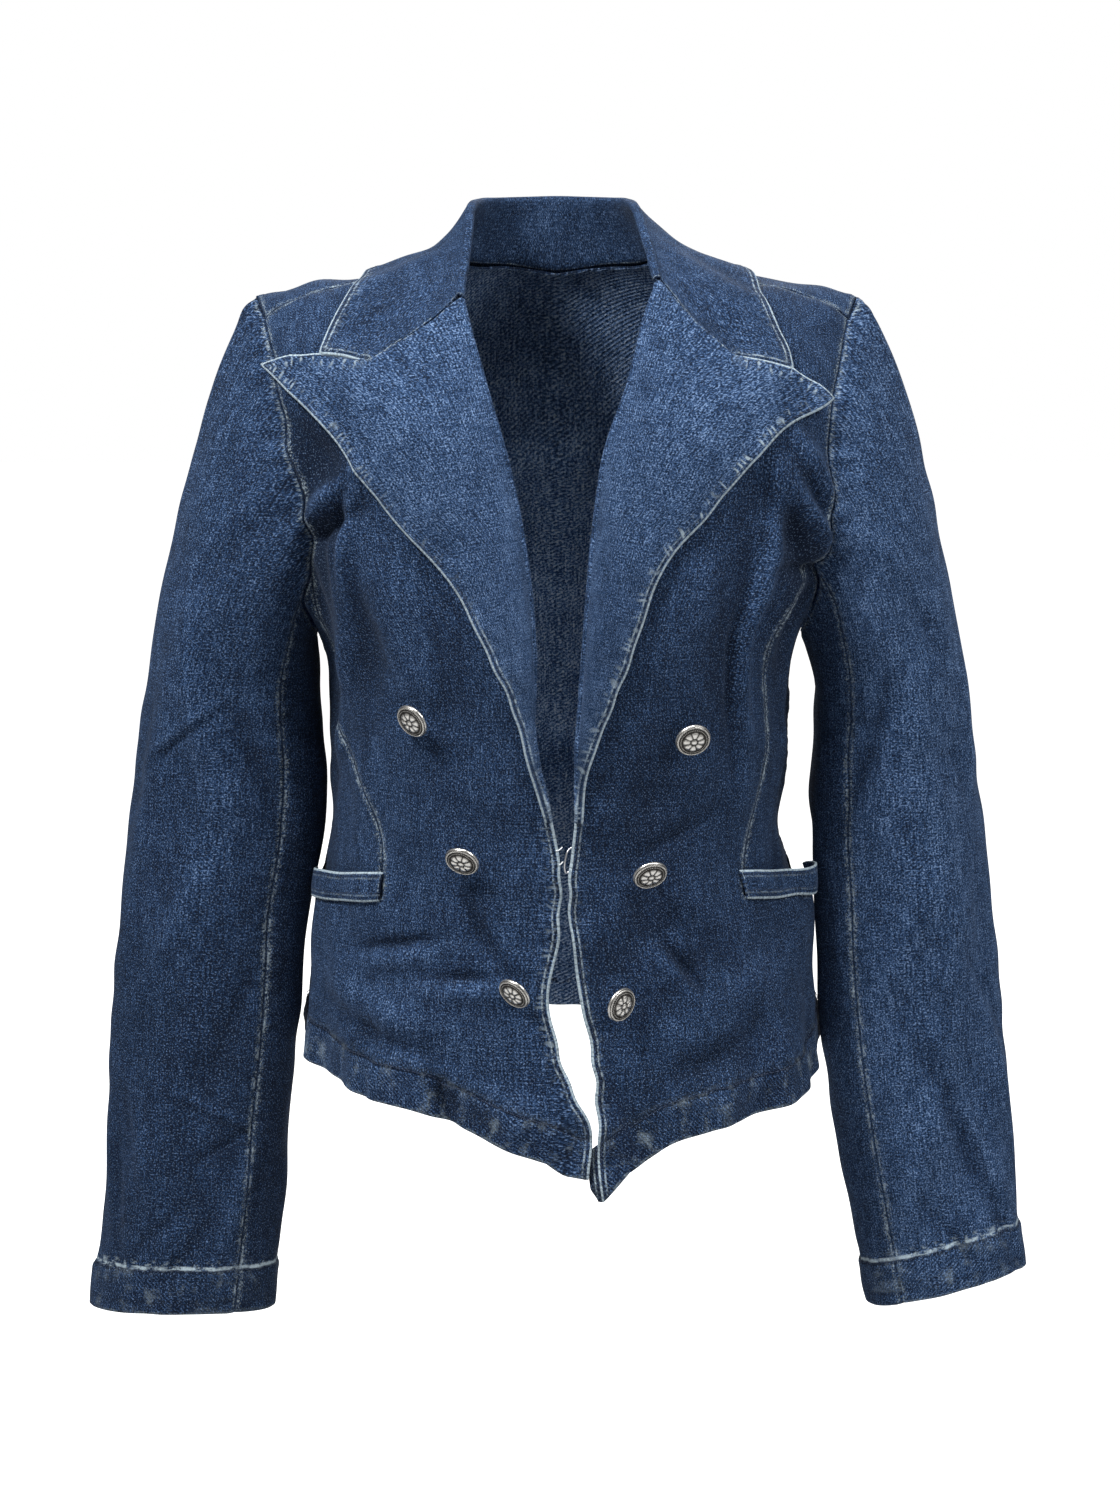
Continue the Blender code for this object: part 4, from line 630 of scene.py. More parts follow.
def shoulder_place(side, share):
    """Turn and v of the shoulder seam, from the armhole (0) to the neck (1)."""
    start = armhole_place(side, SHOULDER_STATION)
    end = neck_place(side, SIDE_NECK)
    share = np.asarray(share)[..., None]
    bow = np.concatenate([0 * share, SHOULDER_BOW * np.sin(np.pi * share)], -1)
    return start * (1 - share) + end * share + bow


def seam_place(side, seam, v):
    """Turn and v of a seam of the body at height v."""
    v = np.asarray(v, float)
    return np.stack([side * read(seam, v), v], -1)


def hem_v(side, turn):
    """Height of the hem at a turn from the centre front."""
    hem = HEM["left" if side > 0 else "right"]
    return read(hem, np.abs(turn))


def hem_rows(side, turn, above):
    """Rows from the hem's fold past its stitch line to the given heights."""
    low = hem_v(side, turn)
    return np.concatenate([[low, low + HEM_DEPTH, low + HEM_DEPTH + HEM_STEP], above])


# ---------------------------------------- boundary lines of the panels
def patch(bottom, top, left, right, rows, columns):
    """Grid of places between four boundary lines, whose ends are made to meet first.

    The blend of left and right along the columns, plus the blend of bottom and top along the rows,
    less the blend of the four corners that both hold.
    """
    bottom[0], bottom[-1], top[0], top[-1] = left[0], right[0], left[-1], right[-1]
    s, t = (columns / columns[-1])[None, :, None], (rows / rows[-1])[:, None, None]
    ruled = (1 - t) * bottom[None] + t * top[None] + (1 - s) * left[:, None] + s * right[:, None]
    corners = ((1 - s) * (1 - t) * bottom[0] + s * (1 - t) * bottom[-1]
               + (1 - s) * t * top[0] + s * t * top[-1])
    return ruled - corners


def straight(start, end, columns):
    """Places on the straight line between two, one for each column."""
    return start + (end - start) * (columns / columns[-1])[:, None]


def indexed(values, positions):
    """Values of a short list at fractional positions in it."""
    return np.interp(positions, np.arange(len(values)), values)


def front_seam(name, rows):
    """Places up the outer edge of a front: hem, princess seam and armhole."""
    side, seam = SIDES[name], FRONT_SEAM[name]
    turn = side * read(seam, -0.5)
    heights = np.append(hem_rows(side, turn, SEAM_ROWS), armhole_place(side, FRONT_STATION)[1])
    below = seam_place(side, seam, indexed(heights, rows))
    above = armhole_place(side, FRONT_STATION - np.maximum(rows - ARMHOLE_ROW, 0))
    return np.where((rows > ARMHOLE_ROW)[:, None], above, below)


def edge_wobble(heights):
    """Small uneven waves of a free edge, square to it."""
    return 0.0008 * np.sin(heights / 0.0060 + 1.9 * np.sin(heights / 0.019))


def front_edge(name, rows):
    """Places up the free edge of a front, from the hem's corner to the gorge."""
    edge = FRONT_EDGE[name]
    low = edge["height"][0]
    heights = indexed([low, low + HEM_DEPTH, low + HEM_DEPTH + HEM_STEP] + EDGE_ROWS
                      + [edge["height"][-1]], rows)
    wobble = edge_wobble(heights) * (1 - ease(heights, -0.370, -0.330))
    return front_place(read(edge, heights, "across") + wobble, heights)


def front_top(name, columns):
    """Places along the top of a front: shoulder seam, then neckline down to the gorge."""
    side = SIDES[name]
    seam = shoulder_place(side, np.minimum(columns / SHOULDER_COLUMNS, 1))
    neck = neck_place(side, SIDE_NECK - np.maximum(columns - SHOULDER_COLUMNS, 0))
    return np.where((columns > SHOULDER_COLUMNS)[:, None], neck, seam)


def hem_between(side, start, end, columns):
    """Places along the hem between the turns of two places."""
    turn = start[0] + (end[0] - start[0]) * (columns / columns[-1])
    return np.stack([turn, hem_v(side, turn)], -1)


def front_grid(name, rows, columns):
    """Places of a front between its seam and its free edge."""
    outer, inner, top = front_seam(name, rows), front_edge(name, rows), front_top(name, columns)
    bottom = hem_between(SIDES[name], outer[0], inner[0], columns)
    corner = np.clip(9 * columns / columns[-1] - 8, 0, 1)[:, None]
    bottom = bottom + (inner[0] - bottom[-1]) * corner
    return patch(bottom, top, outer, inner, rows, columns)


def side_seam(side, rows):
    """Places up the side seam: hem, pocket level, underarm."""
    heights = hem_rows(side, 93.0, SIDE_ROWS + [UNDERARM_V])
    return seam_place(side, SIDE_SEAM, indexed(heights, rows))


def lower_grid(name, rows, columns):
    """Places of the lower front between the pocket's end and the side seam."""
    side = SIDES[name]
    inner, outer = front_seam(name, rows), side_seam(side, rows)
    return patch(hem_between(side, inner[0], outer[0], columns),
                 straight(inner[-1], outer[-1], columns), inner, outer, rows, columns)


def gape(name, turn, v):
    """How far the lower front stands out from the body at the pocket's mouth."""
    side = SIDES[name]
    start = read(FRONT_SEAM[name], v)
    share = np.clip((side * turn - start) / (92.0 - start), 0, 1)
    return GAPE[name] * np.sin(np.pi * share ** 2) ** 2 * ease(v, GAPE_FOOT, POCKET_BACK + 0.005)


def side_front_grid(name, rows, columns):
    """Places of a side front; its first two rows are tucked behind the welt."""
    side = SIDES[name]
    foot = np.array([POCKET_BACK, POCKET_TOP - TUCK_RISE])
    seam_rows = np.arange(POCKET_ROW + 1.0, ARMHOLE_ROW + 1)
    heights = np.concatenate([foot, front_seam(name, seam_rows)[:, 1]])
    tucked = 1 - np.clip(rows - 1, 0, 1)[:, None]
    inner = (seam_place(side, FRONT_SEAM[name], indexed(heights, rows))
             + tucked * np.array([side * TUCK_TURN, 0.0]))
    heights = np.concatenate([foot - POCKET_DROP, side_seam(side, seam_rows)[:, 1]])
    outer = seam_place(side, SIDE_SEAM, indexed(heights, rows))
    return patch(straight(inner[0], outer[0], columns), armhole_place(side, FRONT_STATION + columns),
                 inner, outer, rows, columns)


def back_seam(side, rows):
    """Places up the edge of the back: hem, back seam, armhole and over the ridge."""
    above = np.linspace(-0.440, BACK_SEAM["v"][-1], len(SEAM_ROWS) + 1)
    heights = hem_rows(side, side * BACK_SEAM["turn"][0], above)
    below = seam_place(side, BACK_SEAM, indexed(heights, rows))
    end = armhole_place(side, BACK_STATION) - seam_place(side, BACK_SEAM, heights[-1])
    below = below + np.clip(rows - ARMHOLE_ROW + 1, 0, 1)[:, None] * end
    station = BACK_STATION + np.maximum(rows - ARMHOLE_ROW, 0)
    upper = armhole_place(side, np.minimum(station, STATIONS))
    over = from_back(armhole_place(side, np.maximum(station - STATIONS, 0)))
    places = np.where((rows > ARMHOLE_ROW)[:, None], upper, below)
    return np.where((station > STATIONS)[:, None], over, places)


def side_back_grid(name, rows, columns):
    """Places of a side back, from the side seam round to the back's seam."""
    side = SIDES[name]
    inner, outer = side_seam(side, rows), back_seam(side, rows)
    return patch(hem_between(side, inner[0], outer[0], columns),
                 armhole_place(side, SIDE_STATION + columns), inner, outer, rows, columns)


def back_top(side, columns):
    """Places along the top of one half of the back, counted from the back over the ridge."""
    seam = from_back(shoulder_place(side, np.minimum(columns / SHOULDER_COLUMNS, 1)))
    neck = neck_place(side, SIDE_NECK + np.maximum(columns - SHOULDER_COLUMNS, 0))
    neck = np.where(np.abs(neck[:, :1]) < 90, from_back(neck), neck)
    places = np.where((columns > SHOULDER_COLUMNS)[:, None], neck, seam)
    places[:, 0] = np.where(columns >= BACK_HALF, 180.0, places[:, 0] % 360.0)
    return places


def back_grid(name, rows, columns):
    """Places of the back, from the wearer's left back seam round to the right one."""
    left, right = back_seam(1.0, rows), back_seam(-1.0, rows)
    right[:, 0] %= 360.0
    first, second = np.minimum(columns, BACK_HALF), np.minimum(2 * BACK_HALF - columns, BACK_HALF)
    past = (columns > BACK_HALF)[:, None]
    top = np.where(past, back_top(-1.0, second), back_top(1.0, first))
    turn = np.where(past[:, 0], right[0, 0] + (180.0 - right[0, 0]) * second / BACK_HALF,
                    left[0, 0] + (180.0 - left[0, 0]) * first / BACK_HALF)
    hem = np.where(past[:, 0], hem_v(-1.0, 360.0 - turn), hem_v(1.0, turn))
    return patch(np.stack([turn, hem], -1), top, left, right, rows, columns)


def lapel_top(name, steps):
    """Places along the gorge seam and the lapel's upper edge."""
    line = LAPEL_TOP[name]
    return front_place(np.interp(steps, line["step"], line["across"]),
                       np.interp(steps, line["step"], line["height"]))


def gorge_lift(steps):
    """Height of the lapel and collar above the front along the gorge."""
    return read(GORGE_LIFT, steps)


def lapel_grid(name, rows, columns):
    """Places of a lapel, from the roll line to its outer edge."""
    roll, edge = front_edge(name, rows + BREAK_ROW), LAPEL_EDGE[name]
    t = rows / rows[-1]
    heights = edge["height"][0] + (edge["height"][-1] - edge["height"][0]) * t
    wobble = SIDES[name] * 0.7 * edge_wobble(heights) * np.sin(np.pi * t)
    outer = front_place(read(edge, heights, "across") + wobble, heights)
    roll[:, 1] -= LAPEL_CORNER * np.clip(rows - rows[-1] + 1, 0, 1)
    return patch(straight(roll[0], outer[0], columns), lapel_top(name, columns), roll, outer,
                 rows, columns)


# ---------------------------------------- grids and lines
def running(gaps):
    """Length run up to each point of a line, from the gaps between them."""
    return np.concatenate([[0], np.cumsum(gaps)])


def mean_gaps(points):
    """Mean gaps between a grid's rows, and between its columns."""
    return (np.linalg.norm(np.diff(points, axis=0), axis=-1).mean(axis=1),
            np.linalg.norm(np.diff(points, axis=1), axis=-1).mean(axis=0))


def steps_of(lengths, cell, dense_start=0, dense_end=0):
    """Fractional positions that cut each interval of a grid into steps of about one cell.

    Each interval gets its length over the cell as its count, and the named number of intervals at
    either end get twice as many.
    """
    parts = []
    for i, length in enumerate(lengths):
        dense = 2 if i < dense_start or i >= len(lengths) - dense_end else 1
        count = max(1, int(np.ceil(dense * length / cell)))
        parts.append(i + np.arange(count) / count)
    return np.append(np.concatenate(parts), len(lengths))


def cell_steps(points, cell, dense):
    """Row and column positions that cut a grid into cells of about one size."""
    up, across = mean_gaps(points)
    return steps_of(up, cell, *dense[:2]), steps_of(across, cell, *dense[2:])


def fine_steps(grid, name, row_count, column_count, dense=(0, 0, 0, 0), cell=None):
    """Row and column positions of a panel's fine grid, from the lengths of its coarse one."""
    coarse = grid(name, np.arange(row_count, dtype=float), np.arange(column_count, dtype=float))
    return cell_steps(body(coarse[..., 0], coarse[..., 1]), cell or sizes().cell, dense)


def grid_quads(rows, columns):
    """Four-sided faces of a grid."""
    r, c = np.meshgrid(np.arange(rows - 1), np.arange(columns - 1), indexing="ij")
    a = (r * columns + c).ravel()
    return np.stack([a, a + 1, a + columns + 1, a + columns], -1)


def grid_normals(points):
    """Normals of a grid: the cross product of the steps along its columns and rows."""
    return unit(np.cross(np.gradient(points, axis=1), np.gradient(points, axis=0)))


def facing_out(points, normals, faces):
    """Faces turned so that they face the way the normals point."""
    corners = points[faces]
    facing = np.cross(corners[:, 2] - corners[:, 0], corners[:, 3] - corners[:, 1])
    return faces if (facing * normals[faces[:, 0]]).sum() > 0 else faces[:, ::-1]


def thinned(line, count=LINE_POINTS):
    """A line of points with at most the given count, evenly picked."""
    if len(line) <= count:
        return line
    return line[np.round(np.linspace(0, len(line) - 1, count)).astype(int)]


def near_line(points, line):
    """Distance of each point from a line, and the length along the line of its nearest place.

    Each point is projected on every straight step of the line, held between that step's ends, and
    the nearest of these is kept.
    """
    line = thinned(line)
    start, step = line[:-1], np.diff(line, axis=0)
    size = np.maximum(np.linalg.norm(step, axis=1), 1e-9)
    begin = running(size[:-1])
    near, along = np.empty(len(points)), np.empty(len(points))
    for low in range(0, len(points), BATCH):
        gap = points[low:low + BATCH, None] - start[None]
        share = np.clip((gap * step).sum(-1) / size ** 2, 0, 1)
        distance = np.sqrt(((gap - share[..., None] * step) ** 2).sum(-1))
        best = distance.argmin(1)
        pick = np.arange(len(best))
        near[low:low + BATCH] = distance[pick, best]
        along[low:low + BATCH] = begin[best] + share[pick, best] * size[best]
    return near, along


def near_lines(points, lines):
    """Nearest distance to any of several lines, and the length along that line."""
    near, along = np.full(len(points), 1.0), np.zeros(len(points))
    for shift, line in enumerate(lines):
        distance, length = near_line(points, line)
        along = np.where(distance < near, length + 0.37 * shift, along)
        near = np.minimum(distance, near)
    return near, along


def inset(points, reach):
    """Line of points at a distance from a grid's first column, measured along each row."""
    gaps = np.linalg.norm(np.diff(points[..., :3], axis=1), axis=-1)
    run = np.concatenate([np.zeros((len(points), 1)), np.cumsum(gaps, axis=1)], axis=1)
    after = np.clip((run < reach).sum(axis=1), 1, points.shape[1] - 1)
    pick = np.arange(len(points))
    share = (reach - run[pick, after - 1]) / np.maximum(gaps[pick, after - 1], 1e-9)
    share = np.clip(share, 0, 1)[:, None]
    return points[pick, after - 1] * (1 - share) + points[pick, after] * share


# ---------------------------------------- cloth
SEWN = {}                   # rows of stitches, as points and normals of the cloth they lie on


def boundary_edges(faces):
    """Edges of a sheet that belong to one face, in that face's order."""
    edges = np.concatenate([np.stack([faces[:, i], faces[:, (i + 1) % 4]], -1) for i in range(4)])
    size = faces.max() + 1
    forward, backward = edges[:, 0] * size + edges[:, 1], edges[:, 1] * size + edges[:, 0]
    return edges[~np.isin(forward, backward)]


def merged(blocks):
    """Grids that share a line of points, joined into one sheet."""
    joined = {key: np.concatenate([block[key].reshape(-1, block[key].shape[-1])
                                   for block in blocks]) for key in blocks[0]}
    start, faces = 0, []
    for block in blocks:
        rows, columns = block["points"].shape[:2]
        faces.append(facing_out(joined["points"], joined["normals"],
                                grid_quads(rows, columns) + start))
        start += rows * columns
    keys = np.round(joined["points"] * 1e6).astype(np.int64)
    first, index = np.unique(keys, axis=0, return_index=True, return_inverse=True)[1:]
    sheet = {key: values[first] for key, values in joined.items()}
    sheet["faces"] = index.ravel()[np.concatenate(faces)]
    return sheet


def bell(distance, width, middle=0.0):
    """Bell curve of a distance round its middle."""
    return np.exp(-((distance - middle) / width) ** 2)


def gathers(along, pitch):
    """Uneven small waves along a seam: a sine whose phase wanders by two slower ones."""
    return np.sin(2 * np.pi * along / pitch + 1.7 * np.sin(along / (1.9 * pitch))
                  + 1.1 * np.sin(along / (0.83 * pitch) + 2.0))


def sewn_relief(sheet, seams, edges, hem, depth, dips=1.0, flare=0.0, gather=1.0):
    """Distances to seams, edges and hem, and the small relief of each.

    Cloth sinks into a seam by a bell curve, and gathers beside it; a hem's stitch line is a groove
    with gathers on both sides.  A free edge waves by the height of its flare.
    """
    points, setting = sheet["points"], sizes()
    seam, seam_along = near_lines(points, seams)
    edge, edge_along = near_lines(points, edges)
    rise, rise_along = near_lines(points, hem)
    high = -dips * setting.seam_dip * bell(seam, 0.0024)
    high = high + (gather * setting.pucker * gathers(seam_along, 0.0105) * bell(seam, 0.0085)
                   * (1 - bell(seam, 0.0026)))
    cap = ((gather - 1) * ease(points[:, 2], -0.19, -0.10) * gathers(seam_along, 0.0165)
           * bell(seam, 0.008, 0.009))
    high = high + CAP_GATHER * (1 - bell(seam, 0.0045)) * cap
    high = high + 0.5 * setting.pucker * gathers(edge_along, 0.0090) * bell(edge, 0.0045, 0.006)
    high = high + (flare * gathers(edge_along, 0.041) * bell(edge, 0.018)
                   * (0.6 + 0.4 * np.sin(edge_along / 0.023)))
    line = rise - depth
    high = high + (gather - 1) * CUFF_RISE * (1 - ease(line, -0.001, 0.003))
    high = high - HEM_GROOVE * bell(line, 0.0020)
    high = high + 1.1 * setting.pucker * gathers(rise_along, 0.0125) * bell(line, 0.0075)
    high = high + 2.2 * setting.pucker * gathers(rise_along, 0.031) * bell(rise, 0.012, 0.010)
    sheet["points"] = points + sheet["normals"] * high[:, None]
    # painted light and shade: crests and the cap's gathers lighter, hollows darker by more
    shade_and_wear = sheet["shade_and_wear"] + 0.7 * cap[:, None]
    sheet["shade_and_wear"] = np.where(shade_and_wear < 0, HOLLOW_SHADE, RIDGE_SHADE) * shade_and_wear
    double = np.maximum(1 - ease(rise, depth, depth + 0.003), 1 - ease(edge, 0.004, 0.008))
    sheet["walls"] = setting.cloth + (setting.folded - setting.cloth) * double
    nearest = np.argmin(np.stack([seam, edge, np.abs(line)]), axis=0)
    sheet["seam"], sheet["edge"], sheet["rise"] = seam, edge, rise
    sheet["doubled"] = np.ones(len(seam))
    sheet["ticked"] = np.where(points[:, 0] < 0, 0.45, 0.12)
    sheet["along"] = np.choose(nearest, [seam_along, edge_along + 0.11, rise_along + 0.23])
    return sheet


def fill_mesh(mesh, points, faces):
    """Puts points and faces of equal size into a mesh."""
    mesh.vertices.add(len(points))
    mesh.vertices.foreach_set("co", np.asarray(points, np.float32).ravel())
    corners = faces.shape[1]
    mesh.loops.add(faces.size)
    mesh.loops.foreach_set("vertex_index", faces.astype(np.int32).ravel())
    mesh.polygons.add(len(faces))
    mesh.polygons.foreach_set("loop_start", np.arange(0, faces.size, corners, dtype=np.int32))
    mesh.update(calc_edges=True)
    mesh.validate()


def placed(name, data):
    """A new object of some data, in the scene."""
    made = bpy.data.objects.new(name, data)
    bpy.context.scene.collection.objects.link(made)
    return made


def add_piece(name, mesh, finishes, nodes):
    """The mesh as a named piece on the blazer's one body, in place of its solids."""
    for finish in finishes:
        mesh.materials.append(finish)
    mesh.shade_smooth()
    piece = placed(name, mesh)
    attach(piece, "root")
    if nodes:
        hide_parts(*nodes)
    return piece


def add_parts(name, parts, finish, nodes=()):
    """Several closed meshes, each of points and faces, as one piece."""
    starts = np.cumsum([0] + [len(points) for points, _ in parts])
    mesh = bpy.data.meshes.new(name)
    fill_mesh(mesh, np.concatenate([points for points, _ in parts]),
              np.concatenate([part[1] + start for part, start in zip(parts, starts)]))
    return add_piece(name, mesh, [finish], nodes)


def cloth(node, sheet, finish, rests_on):
    """Closed shell round a sheet, half its wall each way, with a rounded rim, as a sheet piece.

    The rim has a third line of points, pushed out along the cloth by 0.4 of the wall.  The piece
    takes its node's place.
    """
    points, normals, faces = sheet["points"], sheet["normals"], sheet["faces"]
    half, count = sheet["walls"][:, None] / 2, len(sheet["points"])
    rim = boundary_edges(faces)
    outward = np.zeros_like(points)
    along = unit(points[rim[:, 1]] - points[rim[:, 0]])
    for end in (0, 1):
        np.add.at(outward, rim[:, end], np.cross(along, normals[rim[:, end]]))
    edge = np.unique(rim)
    middle = np.full(count, -1)
    middle[edge] = 2 * count + np.arange(len(edge))
    bulge = points[edge] + unit(outward[edge]) * 0.8 * half[edge]
    shell = np.concatenate([points + normals * half, points - normals * half, bulge])
    a, b = rim[:, 0], rim[:, 1]
    rim_faces = np.concatenate([np.stack([b, a, middle[a], middle[b]], -1),
                                np.stack([middle[b], middle[a], a + count, b + count], -1)])
    mesh = bpy.data.meshes.new(node + "_cloth")
    all_faces = np.concatenate([faces, rim_faces, faces[:, ::-1] + count])
    fill_mesh(mesh, shell, all_faces)
    source = np.concatenate([np.arange(count), np.arange(count), edge])
    for key in ("seam", "edge", "along", "rise", "doubled", "ticked", "shade_and_wear"):
        mesh.attributes.new(key, "FLOAT", "POINT").data.foreach_set(
            "value", sheet[key].ravel()[source].astype(np.float32))
    uv = mesh.uv_layers.new(name="cloth")
    uv.data.foreach_set("uv", sheet["uv"][source][all_faces].astype(np.float32).ravel())
    side = np.concatenate([np.zeros(len(faces) + len(rim_faces)), np.ones(len(faces))])
    piece = add_piece(node + "_cloth", mesh, finish, [node])
    mesh.polygons.foreach_set("material_index", side.astype(np.int32))


# ---------------------------------------- materials
class Wiring:
    """Adds nodes to one tree by short calls; a value may be a number, a colour or a socket."""

    def __init__(self, tree):
        self.tree = tree

    def feed(self, socket, value):
        """Link a socket, or set its value."""
        if isinstance(value, bpy.types.NodeSocket):
            self.tree.links.new(value, socket)
        else:
            socket.default_value = value

    def node(self, kind, inputs=(), **settings):
        """A node with its settings and its inputs, by place in their list."""
        made = self.tree.nodes.new("ShaderNode" + kind)
        for key, value in settings.items():
            setattr(made, key, value)
        for at, value in inputs:
            self.feed(made.inputs[at], value)
        return made

    def maths(self, operation, a, b=0.0):
        """Result of one sum on two numbers."""
        return self.node("Math", [(0, a), (1, b)], operation=operation).outputs[0]

    def times(self, value, *others):
        """Product of two or more values."""
        for other in others:
            value = self.maths("MULTIPLY", value, other)
        return value

    def plus(self, value, *parts):
        """A value with parts added: each is a value, or a pair of a value and its share."""
        for part in parts:
            value = self.maths("ADD", value, self.times(*part) if isinstance(part, tuple) else part)
        return value

    def less(self, a, b):
        """Difference of two values."""
        return self.maths("SUBTRACT", a, b)

    def most(self, value, *others):
        """Largest of several values."""
        for other in others:
            value = self.maths("MAXIMUM", value, other)
        return value

    def step(self, value, low, high, start=0.0, end=1.0):
        """Smooth step of a value between two limits."""
        return self.node("MapRange", [(0, value), (1, low), (2, high), (3, start), (4, end)],
                         interpolation_type="SMOOTHSTEP").outputs[0]

    def line(self, value, middle, inner, outer, top=1.0):
        """Soft line where a value passes its middle: full within inner, none past outer."""
        return self.step(self.maths("ABSOLUTE", self.less(value, middle)), inner, outer, top, 0.0)

    def mix(self, share, a, b):
        """Blend of two colours."""
        return self.node("Mix", [(0, share), (6, a), (7, b)], data_type="RGBA").outputs[2]

    def noise(self, vector, scale, detail=2.0, roughness=0.5):
        """Smooth noise round 0.5; a scale of three numbers stretches it along the axes."""
        if isinstance(scale, tuple):
            vector = self.node("VectorMath", [(0, vector), (1, scale)],
                               operation="MULTIPLY").outputs[0]
            scale = 1.0
        return self.node("TexNoise", [("Vector", vector), ("Scale", scale), ("Detail", detail),
                                      ("Roughness", roughness)]).outputs[0]

    def yarn(self, vector, across, up, detail=1.0, roughness=0.5):
        """Noise with its own fineness across and up a flat vector."""
        return self.noise(vector, (across, up, 1.0), detail, roughness)

    def track(self, along, away):
        """Flat vector that runs along a line and away from it."""
        return self.node("CombineXYZ", [(0, along), (1, away), (2, 0.0)]).outputs[0]

    def field(self, name):
        """A value kept on the points of the piece."""
        return self.node("Attribute", attribute_name=name).outputs["Fac"]

    def bump(self, shader, height, strength, distance):
        """Bump of a height on a shader."""
        made = self.node("Bump", [("Strength", strength), ("Distance", distance),
                                  ("Height", height)])
        self.feed(shader.inputs["Normal"], made.outputs[0])


def new_material(name):
    """An empty material, its wiring and its shader."""
    made = bpy.data.materials.new(name)
    made.use_nodes = True
    return made, Wiring(made.node_tree), made.node_tree.nodes["Principled BSDF"]


def denim_group():
    """Denim: yarn streaks, flecks, twill, worn seams and edges, as colour, roughness and height.

    Yarns are noise stretched along the cloth's own grain.  Each worn line is a smooth step of the
    distance to a seam, an edge or the hem, broken up by noise along that line.
    """
    if "denim weave" in bpy.data.node_groups:
        return bpy.data.node_groups["denim weave"]
    tree = bpy.data.node_groups.new("denim weave", "ShaderNodeTree")
    for name in ("Dark yarn", "Indigo", "Faded", "Fleck", "Worn"):
        tree.interface.new_socket(name, in_out="INPUT", socket_type="NodeSocketColor")
    for name in ("Lightness", "Wear", "Twill", "Hem depth", "Hem wear"):
        tree.interface.new_socket(name, in_out="INPUT", socket_type="NodeSocketFloat")
    for name, kind in (("Color", "Color"), ("Roughness", "Float"), ("Height", "Float")):
        tree.interface.new_socket(name, in_out="OUTPUT", socket_type="NodeSocket" + kind)
    w, given = Wiring(tree), tree.nodes.new("NodeGroupInput").outputs
    end = tree.nodes.new("NodeGroupOutput")
    grain = w.node("UVMap", uv_map="cloth").outputs[0]
    space = w.node("TexCoord").outputs["Object"]
    warp, weft = w.yarn(grain, 1150.0, 70.0, 2.0, 0.6), w.yarn(grain, 110.0, 1000.0)
    speck, bare = w.yarn(grain, 1250.0, 850.0, 2.0, 0.7), w.yarn(grain, 1500.0, 850.0, 1.0, 0.6)
    grains = w.yarn(grain, 720.0, 620.0, 2.0, 0.8)
    patchy, cloud = w.noise(space, 120.0, 3.0, 0.6), w.noise(space, 17.0, 3.0, 0.5)
    streak = w.noise(space, (120.0, 120.0, 13.0), 3.0, 0.6)
    split = w.node("SeparateXYZ", [(0, grain)]).outputs
    twill = w.maths("SINE", w.plus(w.times(split[0], 2900.0), (split[1], 2300.0), (speck, 5.0)))
    seam, edge, rise, along = [w.field(key) for key in ("seam", "edge", "rise", "along")]
    doubled, ticked = w.field("doubled"), w.field("ticked")

    # tone of the yarns; the twill is plainer in a hem's band
    hem = w.step(rise, w.less(given["Hem depth"], 0.001), w.plus(given["Hem depth"], 0.002),
                 1.0, 0.0)
    tone = w.plus(given["Lightness"], 0.37)
    ribs = w.times(twill, w.plus(given["Twill"], (hem, 0.55)))
    for part, share in ((warp, 1.10), (weft, 0.50), (speck, 2.90), (patchy, 0.30), (cloud, 0.16),
                        (streak, 0.40)):
        tone = w.plus(tone, (w.less(part, 0.5), share))
    # painted light and shade kept on the points: crests lighter, hollows and shaded places darker
    tone = w.plus(tone, (ribs, 0.16), (w.field("shade_and_wear"), 0.15))

    # wear beside seams: pale grains that thin out with distance, and a broken pale line
    seam_track = w.track(along, seam)
    knots, stretch = w.yarn(seam_track, 95.0, 60.0, 2.0, 0.6), w.yarn(seam_track, 14.0, 0.0)
    by_seam, groove = w.step(seam, 0.0010, 0.0085, 1.0, 0.0), w.step(seam, 0.0002, 0.0012, 1.0, 0.0)
    rubbed = w.plus(w.times(by_seam, 0.34), (knots, 0.34), (stretch, 0.20), grains)
    rubbed = w.times(w.step(rubbed, 1.05, 1.30), by_seam, 0.75, w.less(1.0, groove))
    height = w.node("SeparateXYZ", [(0, space)]).outputs[2]
    strength = w.step(height, -0.46, -0.22, 0.75, 0.30)
    seam_line = w.times(w.line(seam, 0.0014, 0.0002, 0.0007),
                        w.step(knots, 0.50, 0.66, 0.0, strength))

    # finished edges: a bright fold; where the edge is doubled, a dark stitched groove with a second
    # pale line; and where it is ticked, short rubs square to it
    edge_track = w.track(along, edge)
    broken, spread = w.yarn(edge_track, 520.0, 420.0, 2.0, 0.7), w.yarn(edge_track, 160.0, 130.0)
    ticks = w.maths("SINE", w.plus(w.times(along, 1300.0), (w.yarn(edge_track, 70.0, 40.0), 26.0)))
    fold = w.times(w.step(edge, 0.0003, 0.0010, 1.0, 0.0), w.step(broken, 0.32, 0.58, 0.35, 1.1))
    second = w.times(w.line(edge, 0.0034, 0.0002, 0.0009), w.step(broken, 0.40, 0.64, 0.06, 0.72),
                     doubled)
    short = w.times(w.step(ticks, -0.1, 0.9), w.step(edge, 0.0034, 0.0095, 0.85, 0.0), ticked,
                    w.step(spread, 0.42, 0.60), w.step(edge, 0.0008, 0.0022))
    dark = w.times(w.line(edge, 0.0021, 0.0003, 0.0008), doubled)

